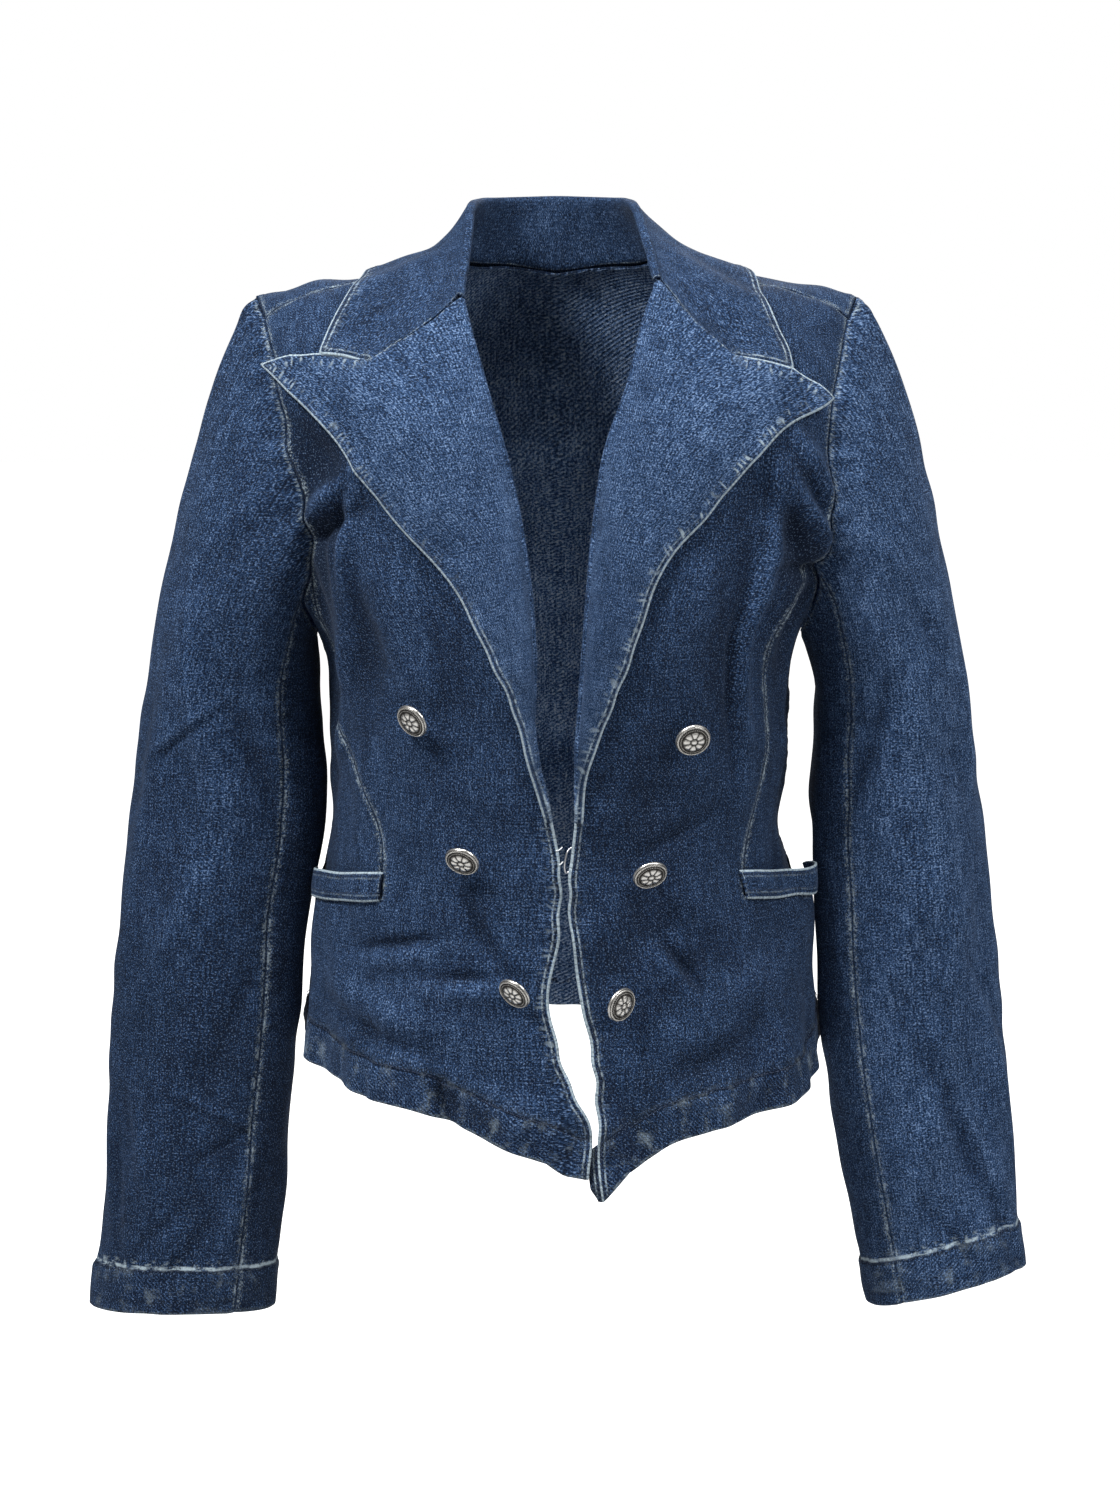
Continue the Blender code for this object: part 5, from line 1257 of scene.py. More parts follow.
    # hem and cuff: rubbed fold and patches, and a broken pale line on the stitches
    hem_track = w.track(along, rise)
    rubs = w.yarn(hem_track, 190.0, 260.0, 3.0, 0.7)
    from_line = w.less(rise, given["Hem depth"])
    weaker = w.times(given["Hem wear"], 0.6)
    line = w.times(w.line(from_line, 0.0014, 0.0005, 0.0017),
                   w.step(rubs, 0.36, 0.60, 0.0, given["Hem wear"]))
    above = w.times(w.line(from_line, 0.0030, 0.0010, 0.0050), w.step(rubs, 0.52, 0.66), weaker)
    foot = w.times(w.step(rise, 0.0004, 0.0014, 0.35, 0.0), w.step(rubs, 0.40, 0.60))
    patches = w.plus(w.yarn(hem_track, 85.0, 55.0, 2.0, 0.6), (grains, 0.45))
    patches = w.times(w.step(patches, 0.74, 0.98, 0.0, 0.26), hem)
    wear = w.times(w.most(rubbed, seam_line, fold, second, short, line, above, foot, patches),
                   given["Wear"], w.plus(w.times(grains, 0.9), 0.35))

    # seams, grooves and stitch lines lie dark
    sewn = w.most(w.line(from_line, -0.0008, 0.0004, 0.0016, 1.7),
                  w.line(rise, 0.0072, 0.0004, 0.0022, weaker))
    sunk = w.times(w.most(groove, dark, sewn), 0.26)
    tone = w.less(tone, w.times(sunk, given["Wear"]))

    colour = given["Dark yarn"]
    for low, high, shade in ((0.16, 0.46, "Indigo"), (0.46, 0.80, "Faded"), (0.76, 1.02, "Fleck")):
        colour = w.mix(w.step(tone, low, high), colour, given[shade])
    colour = w.mix(w.step(bare, 0.56, 0.74, 0.0, 0.60), colour, given["Fleck"])
    colour = w.mix(w.node("Clamp", [(0, wear)]).outputs[0], colour, given["Worn"])
    w.feed(end.inputs["Color"], colour)
    w.feed(end.inputs["Roughness"], w.plus(w.times(speck, 0.16), 0.76))
    w.feed(end.inputs["Height"], w.plus(w.times(warp, 0.5), (weft, 0.25), (speck, 0.5),
                                        (ribs, 0.35), (wear, 0.35)))
    return tree


def denim(name, lightness=0.0, wear=1.0, twill=0.3, depth=HEM_DEPTH, hem_wear=0.05,
          reverse=False):
    """A denim finish: the weave group with its own values, and cloth's soft sheen."""
    if name in bpy.data.materials:
        return bpy.data.materials[name]
    made, w, shader = new_material(name)
    weave, hue = w.tree.nodes.new("ShaderNodeGroup"), colours()
    weave.node_tree = denim_group()
    shown = ([hue.indigo, hue.faded, hue.fleck, hue.reverse, hue.worn] if reverse
             else [hue.shade, hue.indigo, hue.faded, hue.fleck, hue.worn])
    values = [(*colour, 1.0) for colour in shown] + [lightness, wear, twill, depth, hem_wear]
    for socket, value in zip(weave.inputs, values):
        socket.default_value = value
    w.bump(shader, weave.outputs["Height"], 0.75, 0.0006)
    w.feed(shader.inputs["Base Color"], weave.outputs["Color"])
    w.feed(shader.inputs["Roughness"], weave.outputs["Roughness"])
    for socket, value in (("Specular IOR Level", 0.10), ("Sheen Weight", 0.05),
                          ("Sheen Roughness", 0.45), ("Sheen Tint", (0.55, 0.68, 0.95, 1.0))):
        shader.inputs[socket].default_value = value
    return made


def denim_pair(name, **values):
    """A face and a reverse finish for one piece of cloth."""
    return [denim(name, **values),
            denim("denim reverse", lightness=0.14, wear=0.25, twill=0.9, reverse=True)]


def plain(name, colour, roughness, metallic=0.0):
    """A finish of one colour, uneven by fine noise on its roughness and its height."""
    made, w, shader = new_material(name)
    fine = w.noise(w.node("TexCoord").outputs["Object"], 2500.0)
    shades = [(*[part * share for part in colour], 1.0) for share in (0.72, 1.28)]
    w.feed(shader.inputs["Base Color"], w.mix(fine, *shades))
    w.feed(shader.inputs["Roughness"], w.step(fine, 0.2, 0.8, roughness - 0.1, roughness + 0.1))
    w.bump(shader, fine, 0.5, 0.00008)
    shader.inputs["Metallic"].default_value = metallic
    return made


def antique_silver():
    """Worn silver over tarnish: bright where the relief stands up, dark in its hollows."""
    if "antique silver" in bpy.data.materials:
        return bpy.data.materials["antique silver"]
    made, w, shader = new_material("antique silver")
    fine, hue = w.noise(w.node("TexCoord").outputs["Object"], 900.0, 3.0, 0.7), colours()
    high = w.plus(w.field("relief"), (w.less(fine, 0.5), 0.5))
    w.feed(shader.inputs["Base Color"], w.mix(w.step(high, 0.10, 0.80), (*hue.tarnish, 1.0),
                                              (*hue.silver, 1.0)))
    w.feed(shader.inputs["Roughness"], w.step(high, 0.2, 0.9, 0.55, 0.24))
    w.bump(shader, fine, 0.4, 0.0001)
    shader.inputs["Metallic"].default_value = 0.92
    return made


# ---------------------------------------- panels
def body_block(places):
    """Points, normals and grain of a grid of places on the draped body."""
    turn, v = places[..., 0], places[..., 1]
    points, normals = laid(draped, turn, v)
    # painted light and shade: crease crests lighter, their hollows and the painted shade places
    # darker
    shade_and_wear = np.tanh(relief(CREASES, turn, v) / 0.0020) + relief(PAINTED_SHADE, turn, v)
    return {"points": points, "normals": normals, "shade_and_wear": shade_and_wear[..., None],
            "uv": np.stack([turn * ARC_PER_DEGREE, v], -1)}


def turned(block):
    """A block with its rows and columns exchanged."""
    return {key: np.swapaxes(values, 0, 1) for key, values in block.items()}


def some_rows(block, kept):
    """Some of a block's rows."""
    return {key: values[kept] for key, values in block.items()}


def some_columns(block, kept):
    """Some of a block's columns."""
    return {key: values[:, kept] for key, values in block.items()}


def stitch_row(key, points, normals, lift):
    """Keeps a line for the stitches, raised off the middle of its cloth."""
    SEWN[key] = (points + normals * lift, normals)


def edge_stitches(key, block, reach, walls, flip=False):
    """Keeps a stitch line at a distance from a block's first or last column."""
    both = np.concatenate([block["points"], block["normals"]], -1)
    line = inset(both[:, ::-1] if flip else both, reach)
    stitch_row(key, line[:, :3], unit(line[:, 3:]), walls / 2)


def turned_strip(block):
    """Narrow strip of facing that shows beside the foot of the left front's twisted edge."""
    height = block["points"][:, -1, 2]
    kept = height < TURN_TOP
    low, high = height[kept].min(), height[kept]
    wide = TURN_WIDTH * ease(high, TURN_TOP, TURN_TOP - TURN_RUN)
    wide = wide * (1 - 0.6 * ease(high, low + TURN_RUN, low))
    out = wide[:, None, None] * np.linspace(0, 1, 5)[None, :, None]
    strip = {key: np.repeat(values[kept, -1:], 5, axis=1) for key, values in block.items()}
    strip["points"] = strip["points"] + out * np.array([-0.93, 0.36, 0.0])
    strip["uv"] = strip["uv"] + out[..., :1] * np.array([-1.0, 0.0])
    strip["shade_and_wear"] = strip["shade_and_wear"] * 0 - 1.3
    return strip


def make_front(name):
    """Front: the main part and the lower side part under the pocket, as one sheet."""
    rows, columns = fine_steps(front_grid, name, FRONT_ROWS, FRONT_COLUMNS, dense=(1, 0, 0, 2))
    main = body_block(front_grid(name, rows, columns))
    low_rows = rows[rows <= POCKET_ROW]
    wide = fine_steps(lower_grid, name, POCKET_ROW + 1, POCKET_COLUMNS + 1)[1]
    places = lower_grid(name, low_rows, wide)
    lower = body_block(places)
    out = gape(name, places[..., 0], places[..., 1])
    lower["points"] = lower["points"] + lower["normals"] * out[..., None]
    sheet = merged([main, lower] + [turned_strip(main)] * (name == "left"))
    top = [main["points"][-1], main["points"][rows >= POCKET_ROW, 0], lower["points"][-1]]
    edge = [main["points"][rows <= BREAK_ROW, -1]]
    hem = [main["points"][0], lower["points"][0]]
    flare = EDGE_FLARE * (1 - ease(sheet["points"][:, 2], -0.375, -0.335))
    sewn_relief(sheet, top, edge, hem, HEM_DEPTH, flare=flare)
    free = (rows >= 0.3) & (rows <= BREAK_ROW)
    edge_stitches("edge_" + name, some_rows(main, free), EDGE_STITCH, sizes().folded, flip=True)
    for part, block in (("hem_main_", main), ("hem_lower_", lower)):
        edge_stitches(part + name, turned(block), HEM_DEPTH, sizes().folded)
    cloth("front_" + name, sheet, front_denim(name), ["back", "side_front_" + name])


def one_panel(node, grid, name, counts, finish, rests_on, hem=None):
    """A panel of one grid, sewn at its sides and its top.

    It has a hem, whose stitches get a name, or else its foot is tucked in behind the welt.
    """
    rows, columns = fine_steps(grid, name, *counts, dense=(1 if hem else 0, 0, 0, 0))
    block = body_block(grid(name, rows, columns))
    if not hem:
        tuck = TUCK * (1 - np.clip(rows - 1, 0, 1))[:, None, None]
        block["points"] = block["points"] - block["normals"] * tuck
    points, sheet = block["points"], merged([block])
    sewn_relief(sheet, [points[:, 0], points[:, -1], points[-1]], [], [points[0]] if hem else [],
                HEM_DEPTH)
    if hem:
        edge_stitches(hem, turned(block), HEM_DEPTH, sizes().folded)
    cloth(node, sheet, finish, rests_on)


def front_denim(name):
    """The finish of one front and its side front."""
    # painted light and shade: each side's fronts toned lighter or darker
    return denim_pair(name + " front denim", lightness=FRONT_SHADING[name])


def make_side_front(name):
    """Side front: from the princess seam to the side seam, its foot behind the welt."""
    counts = ARMHOLE_ROW - POCKET_ROW + 2, SIDE_STATION - FRONT_STATION + 1
    one_panel("side_front_" + name, side_front_grid, name, counts, front_denim(name),
              ["front_" + name, "side_back_" + name])


def make_side_back(name):
    """Side back: from the side seam round to the back's seam."""
    counts = ARMHOLE_ROW + 1, BACK_STATION - SIDE_STATION + 1
    one_panel("side_back_" + name, side_back_grid, name, counts, denim_pair("blazer denim"),
              ["back", "side_front_" + name], "hem_side_" + name)


def make_back():
    """Back: one sheet between the back seams, over the shoulders to the shoulder seams."""
    one_panel("back", back_grid, "", (BACK_ROWS, 2 * BACK_HALF + 1), denim_pair("blazer denim"),
              ["side_back_right", "side_back_left"], "hem_back")


# ---------------------------------------- lapels and collar
def lapel_lift(rows, columns, under):
    """Height of a lapel over the body without folds.

    It lies a little off the front, bows out between roll line and edge, keeps to the gorge's
    height at its top, and rides over the front's own creases: the larger of the two heights,
    rounded where they cross.
    """
    s, t = (columns / TIP_STEP)[None], (rows / rows[-1])[:, None]
    width = ease(t, 0.0, 0.5)
    lying = ROLL_LIFT - LAPEL_SOFT * (1 - ease(rows, 0.0, 1.0)[:, None])
    lying = lying + width * (LAPEL_BELLY * np.sin(np.pi * s ** 0.85) + EDGE_LIFT * s)
    top = ease(t, 0.8, 1.0)
    lying = lying * (1 - top) + gorge_lift(columns)[None] * top
    high = lying + under * (1 - ease(s, 0.0, 0.3))
    return high + LAPEL_SOFT * np.log1p(np.exp((under + LAPEL_CLEAR - high) / LAPEL_SOFT))


def thin_facing(sheet):
    """Holds a lapel or the collar to a facing's wall, with narrower rubs along its seams."""
    sheet["walls"] = np.minimum(sheet["walls"], FACING_WALL)
    sheet["seam"] = sheet["seam"] * FACING_RUB


def roll_fold(side, rows, flat, normals, low, high):
    """Points and normals of the fold along the roll line.

    Each row is nearly half a circle, square to that line, from the lapel down to the front.
    """
    centre = flat + normals * ((low + high) / 2)[:, None]
    outward = unit(np.cross(np.gradient(flat, axis=0), normals))
    outward = -side * outward * np.sign(outward[:, :1])
    angle = np.radians(np.linspace(-80, 72, FOLD_COLUMNS))
    radius = ((high - low) / 2)[:, None, None]
    arc_normals = (outward[:, None] * np.cos(angle)[None, :, None]
                   + normals[:, None] * np.sin(angle)[None, :, None])
    arc = centre[:, None] + radius * arc_normals
    flatter = 1 - ease(rows, 0.0, 0.8)[:, None, None]       # the fold runs out at the break
    return arc - flatter * radius * outward[:, None] * np.cos(angle)[None, :, None], arc_normals


def make_lapel(name):
    """Lapel: the facing turned out along the roll line, with the fold that joins it to the front."""
    side = SIDES[name]
    rows, columns = fine_steps(lapel_grid, name, FRONT_ROWS - BREAK_ROW, TIP_STEP + 1,
                               dense=(0, 2, 0, 2), cell=LAPEL_CELL)
    places = lapel_grid(name, rows, columns)
    turn, v = places[..., 0], places[..., 1]
    under = crumpled(turn, v)
    lift = lapel_lift(rows, columns, under)
    wide = (columns / TIP_STEP)[None]
    bends = 0.7 * swelling(turn * 1.7 + 40.0, v * 1.3) * wide
    bends = bends + relief(LAPEL_WAVES[name], turn, v) * ease(wide, 0.02, 0.3)
    lift = lift + bends
    flat, normals = laid(body_form, turn, v)
    points = flat + normals * lift[..., None]
    arc, arc_normals = roll_fold(side, rows, flat[:, 0], normals[:, 0], under[:, 0], lift[:, 0])
    points = np.concatenate([arc, points], axis=1)
    spread = np.concatenate([arc_normals, normals], axis=1)
    run = running(mean_gaps(points)[1])
    grain = np.stack([np.broadcast_to(run, points.shape[:2]),
                      points[..., 2] + side * 0.22 * points[..., 0]], -1)
    waved = np.concatenate([np.repeat(bends[:, :1], FOLD_COLUMNS, 1), bends], axis=1)[..., None]
    # painted light and shade of the lapel's bends: crests lighter, hollows darker
    block = {"points": points, "normals": spread, "uv": grain, "shade_and_wear": np.tanh(waved / 0.0040)}
    sheet = merged([block])
    gorge = columns <= GORGE_STEPS
    upper = points[-1, FOLD_COLUMNS:]
    seams, edge = [upper[gorge]], [points[:, -1], upper[~gorge]]
    sewn_relief(sheet, seams, edge, [], HEM_DEPTH, dips=0.6, flare=LAPEL_FLARE)
    thin_facing(sheet)
    height = sheet["points"][:, 2]
    sheet["doubled"] = 1 - ease(height, *DOUBLED_EDGE[name])
    sheet["ticked"] = read(TICKED_EDGE[name], height)
    edge_stitches("lapel_edge_" + name, some_rows(block, rows > 0.5), EDGE_STITCH, FACING_WALL,
                  flip=True)
    top = some_columns(block, np.append(np.zeros(FOLD_COLUMNS, bool), ~gorge))
    edge_stitches("lapel_top_" + name, turned(top), EDGE_STITCH, FACING_WALL, flip=True)
    # the facing denim is toned lighter, partly as lighter cloth and partly as painted light on the
    # lapels
    cloth("lapel_" + name, sheet, denim_pair("facing denim", lightness=0.17), ["front_" + name])


def push_out(points, clearance):
    """Points moved off the shoulders until they clear them by the given distance."""
    x, y, z = points[..., 0], points[..., 1], points[..., 2]
    share = np.clip(np.abs(x) / ring(ARCH_FOOT, "half_width"), 0, 1)
    width = (1 - share ** ROUND) ** (1 / ROUND)
    depth = width * np.where(y < 0, ring(ARCH_FOOT, "front"), ring(ARCH_FOOT, "back"))
    rise = ridge(x) - ARCH_FOOT
    reach = np.hypot(y / depth, (z - ARCH_FOOT) / rise)
    wanted = 1 + clearance / np.hypot(y, z - ARCH_FOOT)
    scale = np.where(reach < wanted, wanted / reach, 1.0)
    return np.stack([x, y * scale, ARCH_FOOT + (z - ARCH_FOOT) * scale], -1)


def cubic(start, leave, arrive, end, count):
    """Rows of points on cubic curves with four control points each."""
    t = np.linspace(0, 1, count)[None, :, None]
    return ((1 - t) ** 3 * start[:, None] + 3 * (1 - t) ** 2 * t * leave[:, None]
            + 3 * (1 - t) * t ** 2 * arrive[:, None] + t ** 3 * end[:, None])


def collar_half(name):
    """Grid of one half of the collar, as on the solid.

    A row per station; columns go up the stand, round the half circle of the fold, and down the
    fall, which is a cubic curve from the fold to the outer edge.
    """
    side = SIDES[name]
    stations = np.arange(9)
    places = neck_place(side, np.maximum(stations, NECK_START))
    seam, seam_normals = laid(body, places[:, 0], places[:, 1])
    seam = seam + seam_normals * COLLAR_FOOT
    shape = COLLAR[name]
    fold = np.stack([side * shape["fold_x"], shape["fold_y"], shape["fold_z"]], -1)
    edge_places = arch_place(side, shape["edge_x"], shape["edge_turn"])
    edge_places[0] = lapel_top(name, [NOTCH_STEP])[0]
    edge_lift = np.full(9, COLLAR_LIFT[name])
    edge_lift[0] = gorge_lift(NOTCH_STEP)
    edge_lift[1] = (edge_lift[0] + edge_lift[2]) / 2
    edge = raised(edge_places[:, 0], edge_places[:, 1], edge_lift)
    tangent = unit(np.gradient(fold, axis=0))
    tangent[-1] = np.array([-side, 0.0, 0.0])
    up = np.array([0.0, 0.0, 1.0])
    across = unit(np.cross(tangent, up)) * side
    across *= np.sign((across * (edge - fold)).sum(-1, keepdims=True))
    turns = np.radians([180.0, 120.0, 60.0, 0.0])[None, :, None]
    arc = (fold[:, None] + across[:, None] * FOLD_RADIUS * np.cos(turns)
           + up * FOLD_RADIUS * (np.sin(turns) - 1))
    share = np.linspace(0, 1, 4)[None, :, None]
    stand = seam[:, None] * (1 - share) + arc[:, :1] * share
    above_seam = seam + seam_normals * COLLAR_LIFT[name]
    leave = arc[:, 3] + FALL_PULL[name] * (above_seam - arc[:, 3])
    arrive = edge + FALL_PULL[name] * (above_seam - edge)
    fall = cubic(arc[:, 3], leave, arrive, edge, NOTCH_STEP + 1)
    steps = np.arange(NOTCH_STEP + 1)
    end_places = lapel_top(name, steps)
    end = raised(end_places[:, 0], end_places[:, 1], gorge_lift(steps))
    hold = (1 - ease(stations, 0, 3.0))[:, None, None]
    end[0] = arc[0, 3]
    fall = push_out(fall + hold * (end - fall[0])[None], COLLAR_LIFT[name])
    fall[0] = end
    return np.concatenate([stand[:, :-1], arc[:, :-1], fall], axis=1)


def curved(grid, positions):
    """A grid at fractional rows, by a cubic through its own rows."""
    slopes = np.gradient(grid, axis=0)
    i = np.clip(positions.astype(int), 0, len(grid) - 2)
    t = (positions - i)[:, None, None]
    start = grid[i] * (1 + 2 * t) * (1 - t) ** 2 + slopes[i] * t * (1 - t) ** 2
    end = grid[i + 1] * (3 - 2 * t) * t ** 2 + slopes[i + 1] * t ** 2 * (t - 1)
    return start + end


def finer(grid, cell, dense=(0, 0, 0, 0)):
    """A grid with its rows and columns cut into steps of about one cell, and their positions."""
    rows, columns = cell_steps(grid, cell, dense)
    fine = curved(grid, rows)
    return np.swapaxes(curved(np.swapaxes(fine, 0, 1), columns), 0, 1), rows, columns


def make_collar():
    """Collar: one sheet with its stand inside the neck, its fold, and its fall on the shoulders."""
    left, right = collar_half("left"), collar_half("right")
    grid = np.concatenate([left, right[::-1][1:]])
    middle = len(left) - 1
    grid[middle, :, 0] = 0.0
    points, rows, columns = finer(grid, COLLAR_CELL, dense=(0, 0, 0, 2))
    normals = grid_normals(points)
    if normals[len(rows) // 2, -1, 1] < 0:
        normals = -normals
    along = running(np.linalg.norm(np.diff(points[:, -1], axis=0), axis=-1))
    down = running(mean_gaps(points)[1])
    grain = np.stack(np.broadcast_arrays(along[:, None], down[None]), -1)
    start = FALL_COLUMN
    lift = (0.8 * swelling(grain[..., 0] / ARC_PER_DEGREE, grain[..., 1])
            * ease(columns, start, start + 3))
    points = points + normals * lift[..., None]
    # painted light and shade of the collar's swelling: crests lighter, hollows darker
    block = {"points": points, "normals": normals, "uv": grain,
             "shade_and_wear": np.tanh(lift[..., None] / 0.0040)}
    sheet = merged([block])
    gorge = columns <= start + GORGE_STEPS
    free = ~gorge
    seams = [points[:, 0], points[0][gorge], points[-1][gorge]]
    edge = [points[:, -1], points[0][free], points[-1][free]]
    sewn_relief(sheet, seams, edge, [], HEM_DEPTH, dips=0.6)
    thin_facing(sheet)
    for key, reach in (("collar_outer", EDGE_STITCH), ("collar_inner", COLLAR_STITCH)):
        edge_stitches(key, block, reach, COLLAR_WALL, flip=True)
    cloth("collar", sheet, denim_pair("collar denim", lightness=0.01),
          ["back", "front_right", "front_left"])


# ---------------------------------------- pockets
def make_welt(name):
    """Pocket welt: a band that stands over the mouth of the pocket."""
    side = SIDES[name]
    start, end = read(FRONT_SEAM[name], POCKET_SEAM), read(SIDE_SEAM, POCKET_SEAM - POCKET_DROP)
    turn = np.linspace(start + WELT_INSET, end - (end - start) / POCKET_COLUMNS, 76)
    share = np.linspace(0, 1, 10)[:, None]
    base = POCKET_SEAM - WELT_FOOT + share * (POCKET_TOP - POCKET_SEAM + WELT_FOOT)
    heights = base - POCKET_DROP * (turn[None] - start) / (end - start)
    turns = np.broadcast_to(side * turn[None], heights.shape)
    mouth = gape(name, turns, np.full_like(heights, POCKET_SEAM))
    flush = 1 - ease(turn[None] - turn[0], 0.0, 8.0)
    lift = (0.0030 - 0.0010 * flush + mouth * (1 + WELT_LEAN * share)
            + 0.0006 * np.sin(np.pi * share))
    block = body_block(np.stack([turns, heights], -1))
    block["points"] = block["points"] + block["normals"] * lift[..., None]
    block["shade_and_wear"] = 0 * block["shade_and_wear"]
    points, sheet = block["points"], merged([block])
    sewn_relief(sheet, [points[:, 0], points[:, -1]], [points[-1], points[0]], [], HEM_DEPTH,
                dips=0.5)
    sheet["walls"] = np.full(len(sheet["points"]), WELT_WALL)
    sheet["seam"], sheet["doubled"] = sheet["seam"] * WELT_RUB, sheet["doubled"] * 0.4
    sheet["ticked"] = sheet["ticked"] * 0
    for key, reach in WELT_STITCHES.items():
        edge_stitches(key + name, turned(block), reach, WELT_WALL, flip=True)
    cloth("welt_" + name, sheet, denim_pair("blazer denim"), ["front_" + name])


# ---------------------------------------- sleeves
def sleeve_relief(folds, turn, height, top=0.25, full=0.32):
    """Height of the sleeve's folds: each follows a slope round the sleeve, and fades out above."""
    total = np.zeros(np.broadcast(turn, height).shape)
    for row in zip(*folds.values()):
        turn_0, height_0, slope, length, width, depth = row
        along = height - height_0
        offset = (turn - turn_0 - slope * along + 180.0) % 360.0 - 180.0
        across = np.radians(offset) * SLEEVE_RADIUS
        total = total + depth * np.exp(-(across / width) ** 2 - (2 * along / length) ** 2)
    return total * ease(-height, top, full)


def sleeve_grid(name):
    """Grid of a whole sleeve, as on the solid: a row per ring, a column per armhole station.

    The cap is a cubic curve that leaves the armhole outward and arrives along the first ring.
    """
    side = SIDES[name]
    stations = np.arange(STATIONS)
    turn = np.interp(stations, SLEEVE_TURN["station"], SLEEVE_TURN["turn"])
    places = armhole_place(side, stations)
    seam, seam_normals = laid(body, places[:, 0], places[:, 1])
    along = unit(np.roll(seam, -1, axis=0) - np.roll(seam, 1, axis=0))
    outward = np.cross(along, seam_normals)
    outward *= np.sign((outward[0] * [side, 0, 0]).sum())
    under = ease(np.abs(stations - SIDE_STATION), UNDERARM_SPAN, 1.0)[:, None]
    start = (seam + outward * (SLEEVE_GAP - SEAM_GAP * under)
             + seam_normals * UNDERARM_LIFT * under)
    rings = SLEEVE[name]
    centre = (rings["outer"] + rings["inner"])[:, None] / 2
    half = (rings["outer"] - rings["inner"])[:, None] / 2
    angle = np.radians(turn)[None]
    cosine = np.sign(np.cos(angle)) * np.abs(np.cos(angle)) ** SLEEVE_SQUARE
    sine = np.sign(np.sin(angle)) * np.abs(np.sin(angle)) ** SLEEVE_SQUARE
    out = sleeve_relief(SLEEVE_FOLDS[name], turn[None], rings["height"][:, None])
    x = centre + (half + out) * cosine
    y = -rings["forward"][:, None] - (rings["depth"][:, None] + out) * sine
    z = rings["height"][:, None] + rings["tilt"][:, None] * (x - centre)
    rings = np.stack([side * x, y, z], -1)
    angle = angle[0]
    out, out_more, forward, down, down_less = CAP_LEAVE
    leave = unit(np.stack([side * (out + out_more * np.cos(angle)), forward * np.sin(angle),
                           down + down_less * np.cos(angle)], -1)) * CAP_FULLNESS[name]
    reach = np.linalg.norm(rings[0] - start, axis=1)[:, None]
    arrive = unit(rings[1] - rings[0])
    t = np.array(HEAD_STEPS)[:, None, None]
    head = ((1 + 2 * t) * (1 - t) ** 2 * start[None] + t * (1 - t) ** 2 * (reach * leave)
            + (3 - 2 * t) * t ** 2 * rings[0][None] + t ** 2 * (t - 1) * (reach * arrive))
    return np.concatenate([head, rings])


def make_sleeve(name):
    """Sleeve: the whole tube with its creases, split at its two seams into upper and under."""
    side = SIDES[name]
    grid = sleeve_grid(name)
    wrapped = np.concatenate([grid[:, -WRAP:], grid, grid[:, :WRAP + 1]], axis=1)
    points, rows, columns = finer(wrapped, SLEEVE_CELL, dense=(1, 1, 0, 0))
    columns = columns - WRAP
    normals = grid_normals(points)
    top = normals[len(rows) // 2, np.searchsorted(columns, 0)]
    if (top * [side, 0, 0]).sum() < 0:
        normals = -normals
    turn = np.interp(columns % STATIONS, SLEEVE_TURN["station"], SLEEVE_TURN["turn"])[None]
    height = points[..., 2]
    wrinkles = sizes().creases * sleeve_relief(SLEEVE_CREASES[name], turn, height, 0.04, 0.09)
    wrinkles = wrinkles * ease(rows, 0.4, 2.5)[:, None]
    high = 1.2 * wrinkles + 0.5 * sleeve_relief(SLEEVE_FOLDS[name], turn, height)
    around = np.radians(turn) * SLEEVE_RADIUS
    high = high + 0.7 * swelling(turn + 70 * side, height, 0.34) * ease(rows, 0.4, 3.0)[:, None]
    points = points + normals * high[..., None]
    hole = armhole_place(side, columns % STATIONS)
    moved = draped(hole[:, 0], hole[:, 1]) - body(hole[:, 0], hole[:, 1])
    points = points + moved[None] * (1 - ease(rows, 0.0, 2.5))[:, None, None]
    grain = np.stack(np.broadcast_arrays(around, height), -1)
    # painted light and shade of the wrinkles, and painted shade towards the cuff
    block = {"points": points, "normals": normals, "uv": grain,
             "shade_and_wear": (0.7 * np.tanh(wrinkles / 0.0040)
                       + SLEEVE_FOOT_SHADE[name] * (1 - ease(height, -0.52, -0.22)))[..., None]}
    under = some_columns(block, (columns >= SLEEVE_FRONT) & (columns <= SLEEVE_BACK))
    first = some_columns(block, (columns >= SLEEVE_BACK) & (columns <= STATIONS))
    last = some_columns(block, (columns >= 0) & (columns <= SLEEVE_FRONT))
    upper = {key: np.concatenate([first[key], last[key][:, 1:]], axis=1) for key in block}
    upper["uv"][:, first["uv"].shape[1]:, 0] += 2 * np.pi * SLEEVE_RADIUS
    for label, half in (("sleeve_upper_", upper), ("sleeve_under_", under)):
        lines = half["points"]
        sheet = merged([half])
        sewn_relief(sheet, [lines[0], lines[:, 0], lines[:, -1]], [], [lines[-1]], CUFF_DEPTH,
                    gather=2.0)
        edge_stitches("cuff_" + label + name, turned(half), CUFF_DEPTH, sizes().folded, flip=True)
        # painted light and shade: each side's sleeves toned lighter or darker, their under halves
        # darker
        finish = denim_pair(label + name + " denim", wear=0.75, depth=CUFF_DEPTH, hem_wear=1.15,
                            lightness=SLEEVE_SHADING[name] - UNDER_SHADE * (half is under))
        cloth(label + name, sheet, finish, ["front_" + name, "back"])


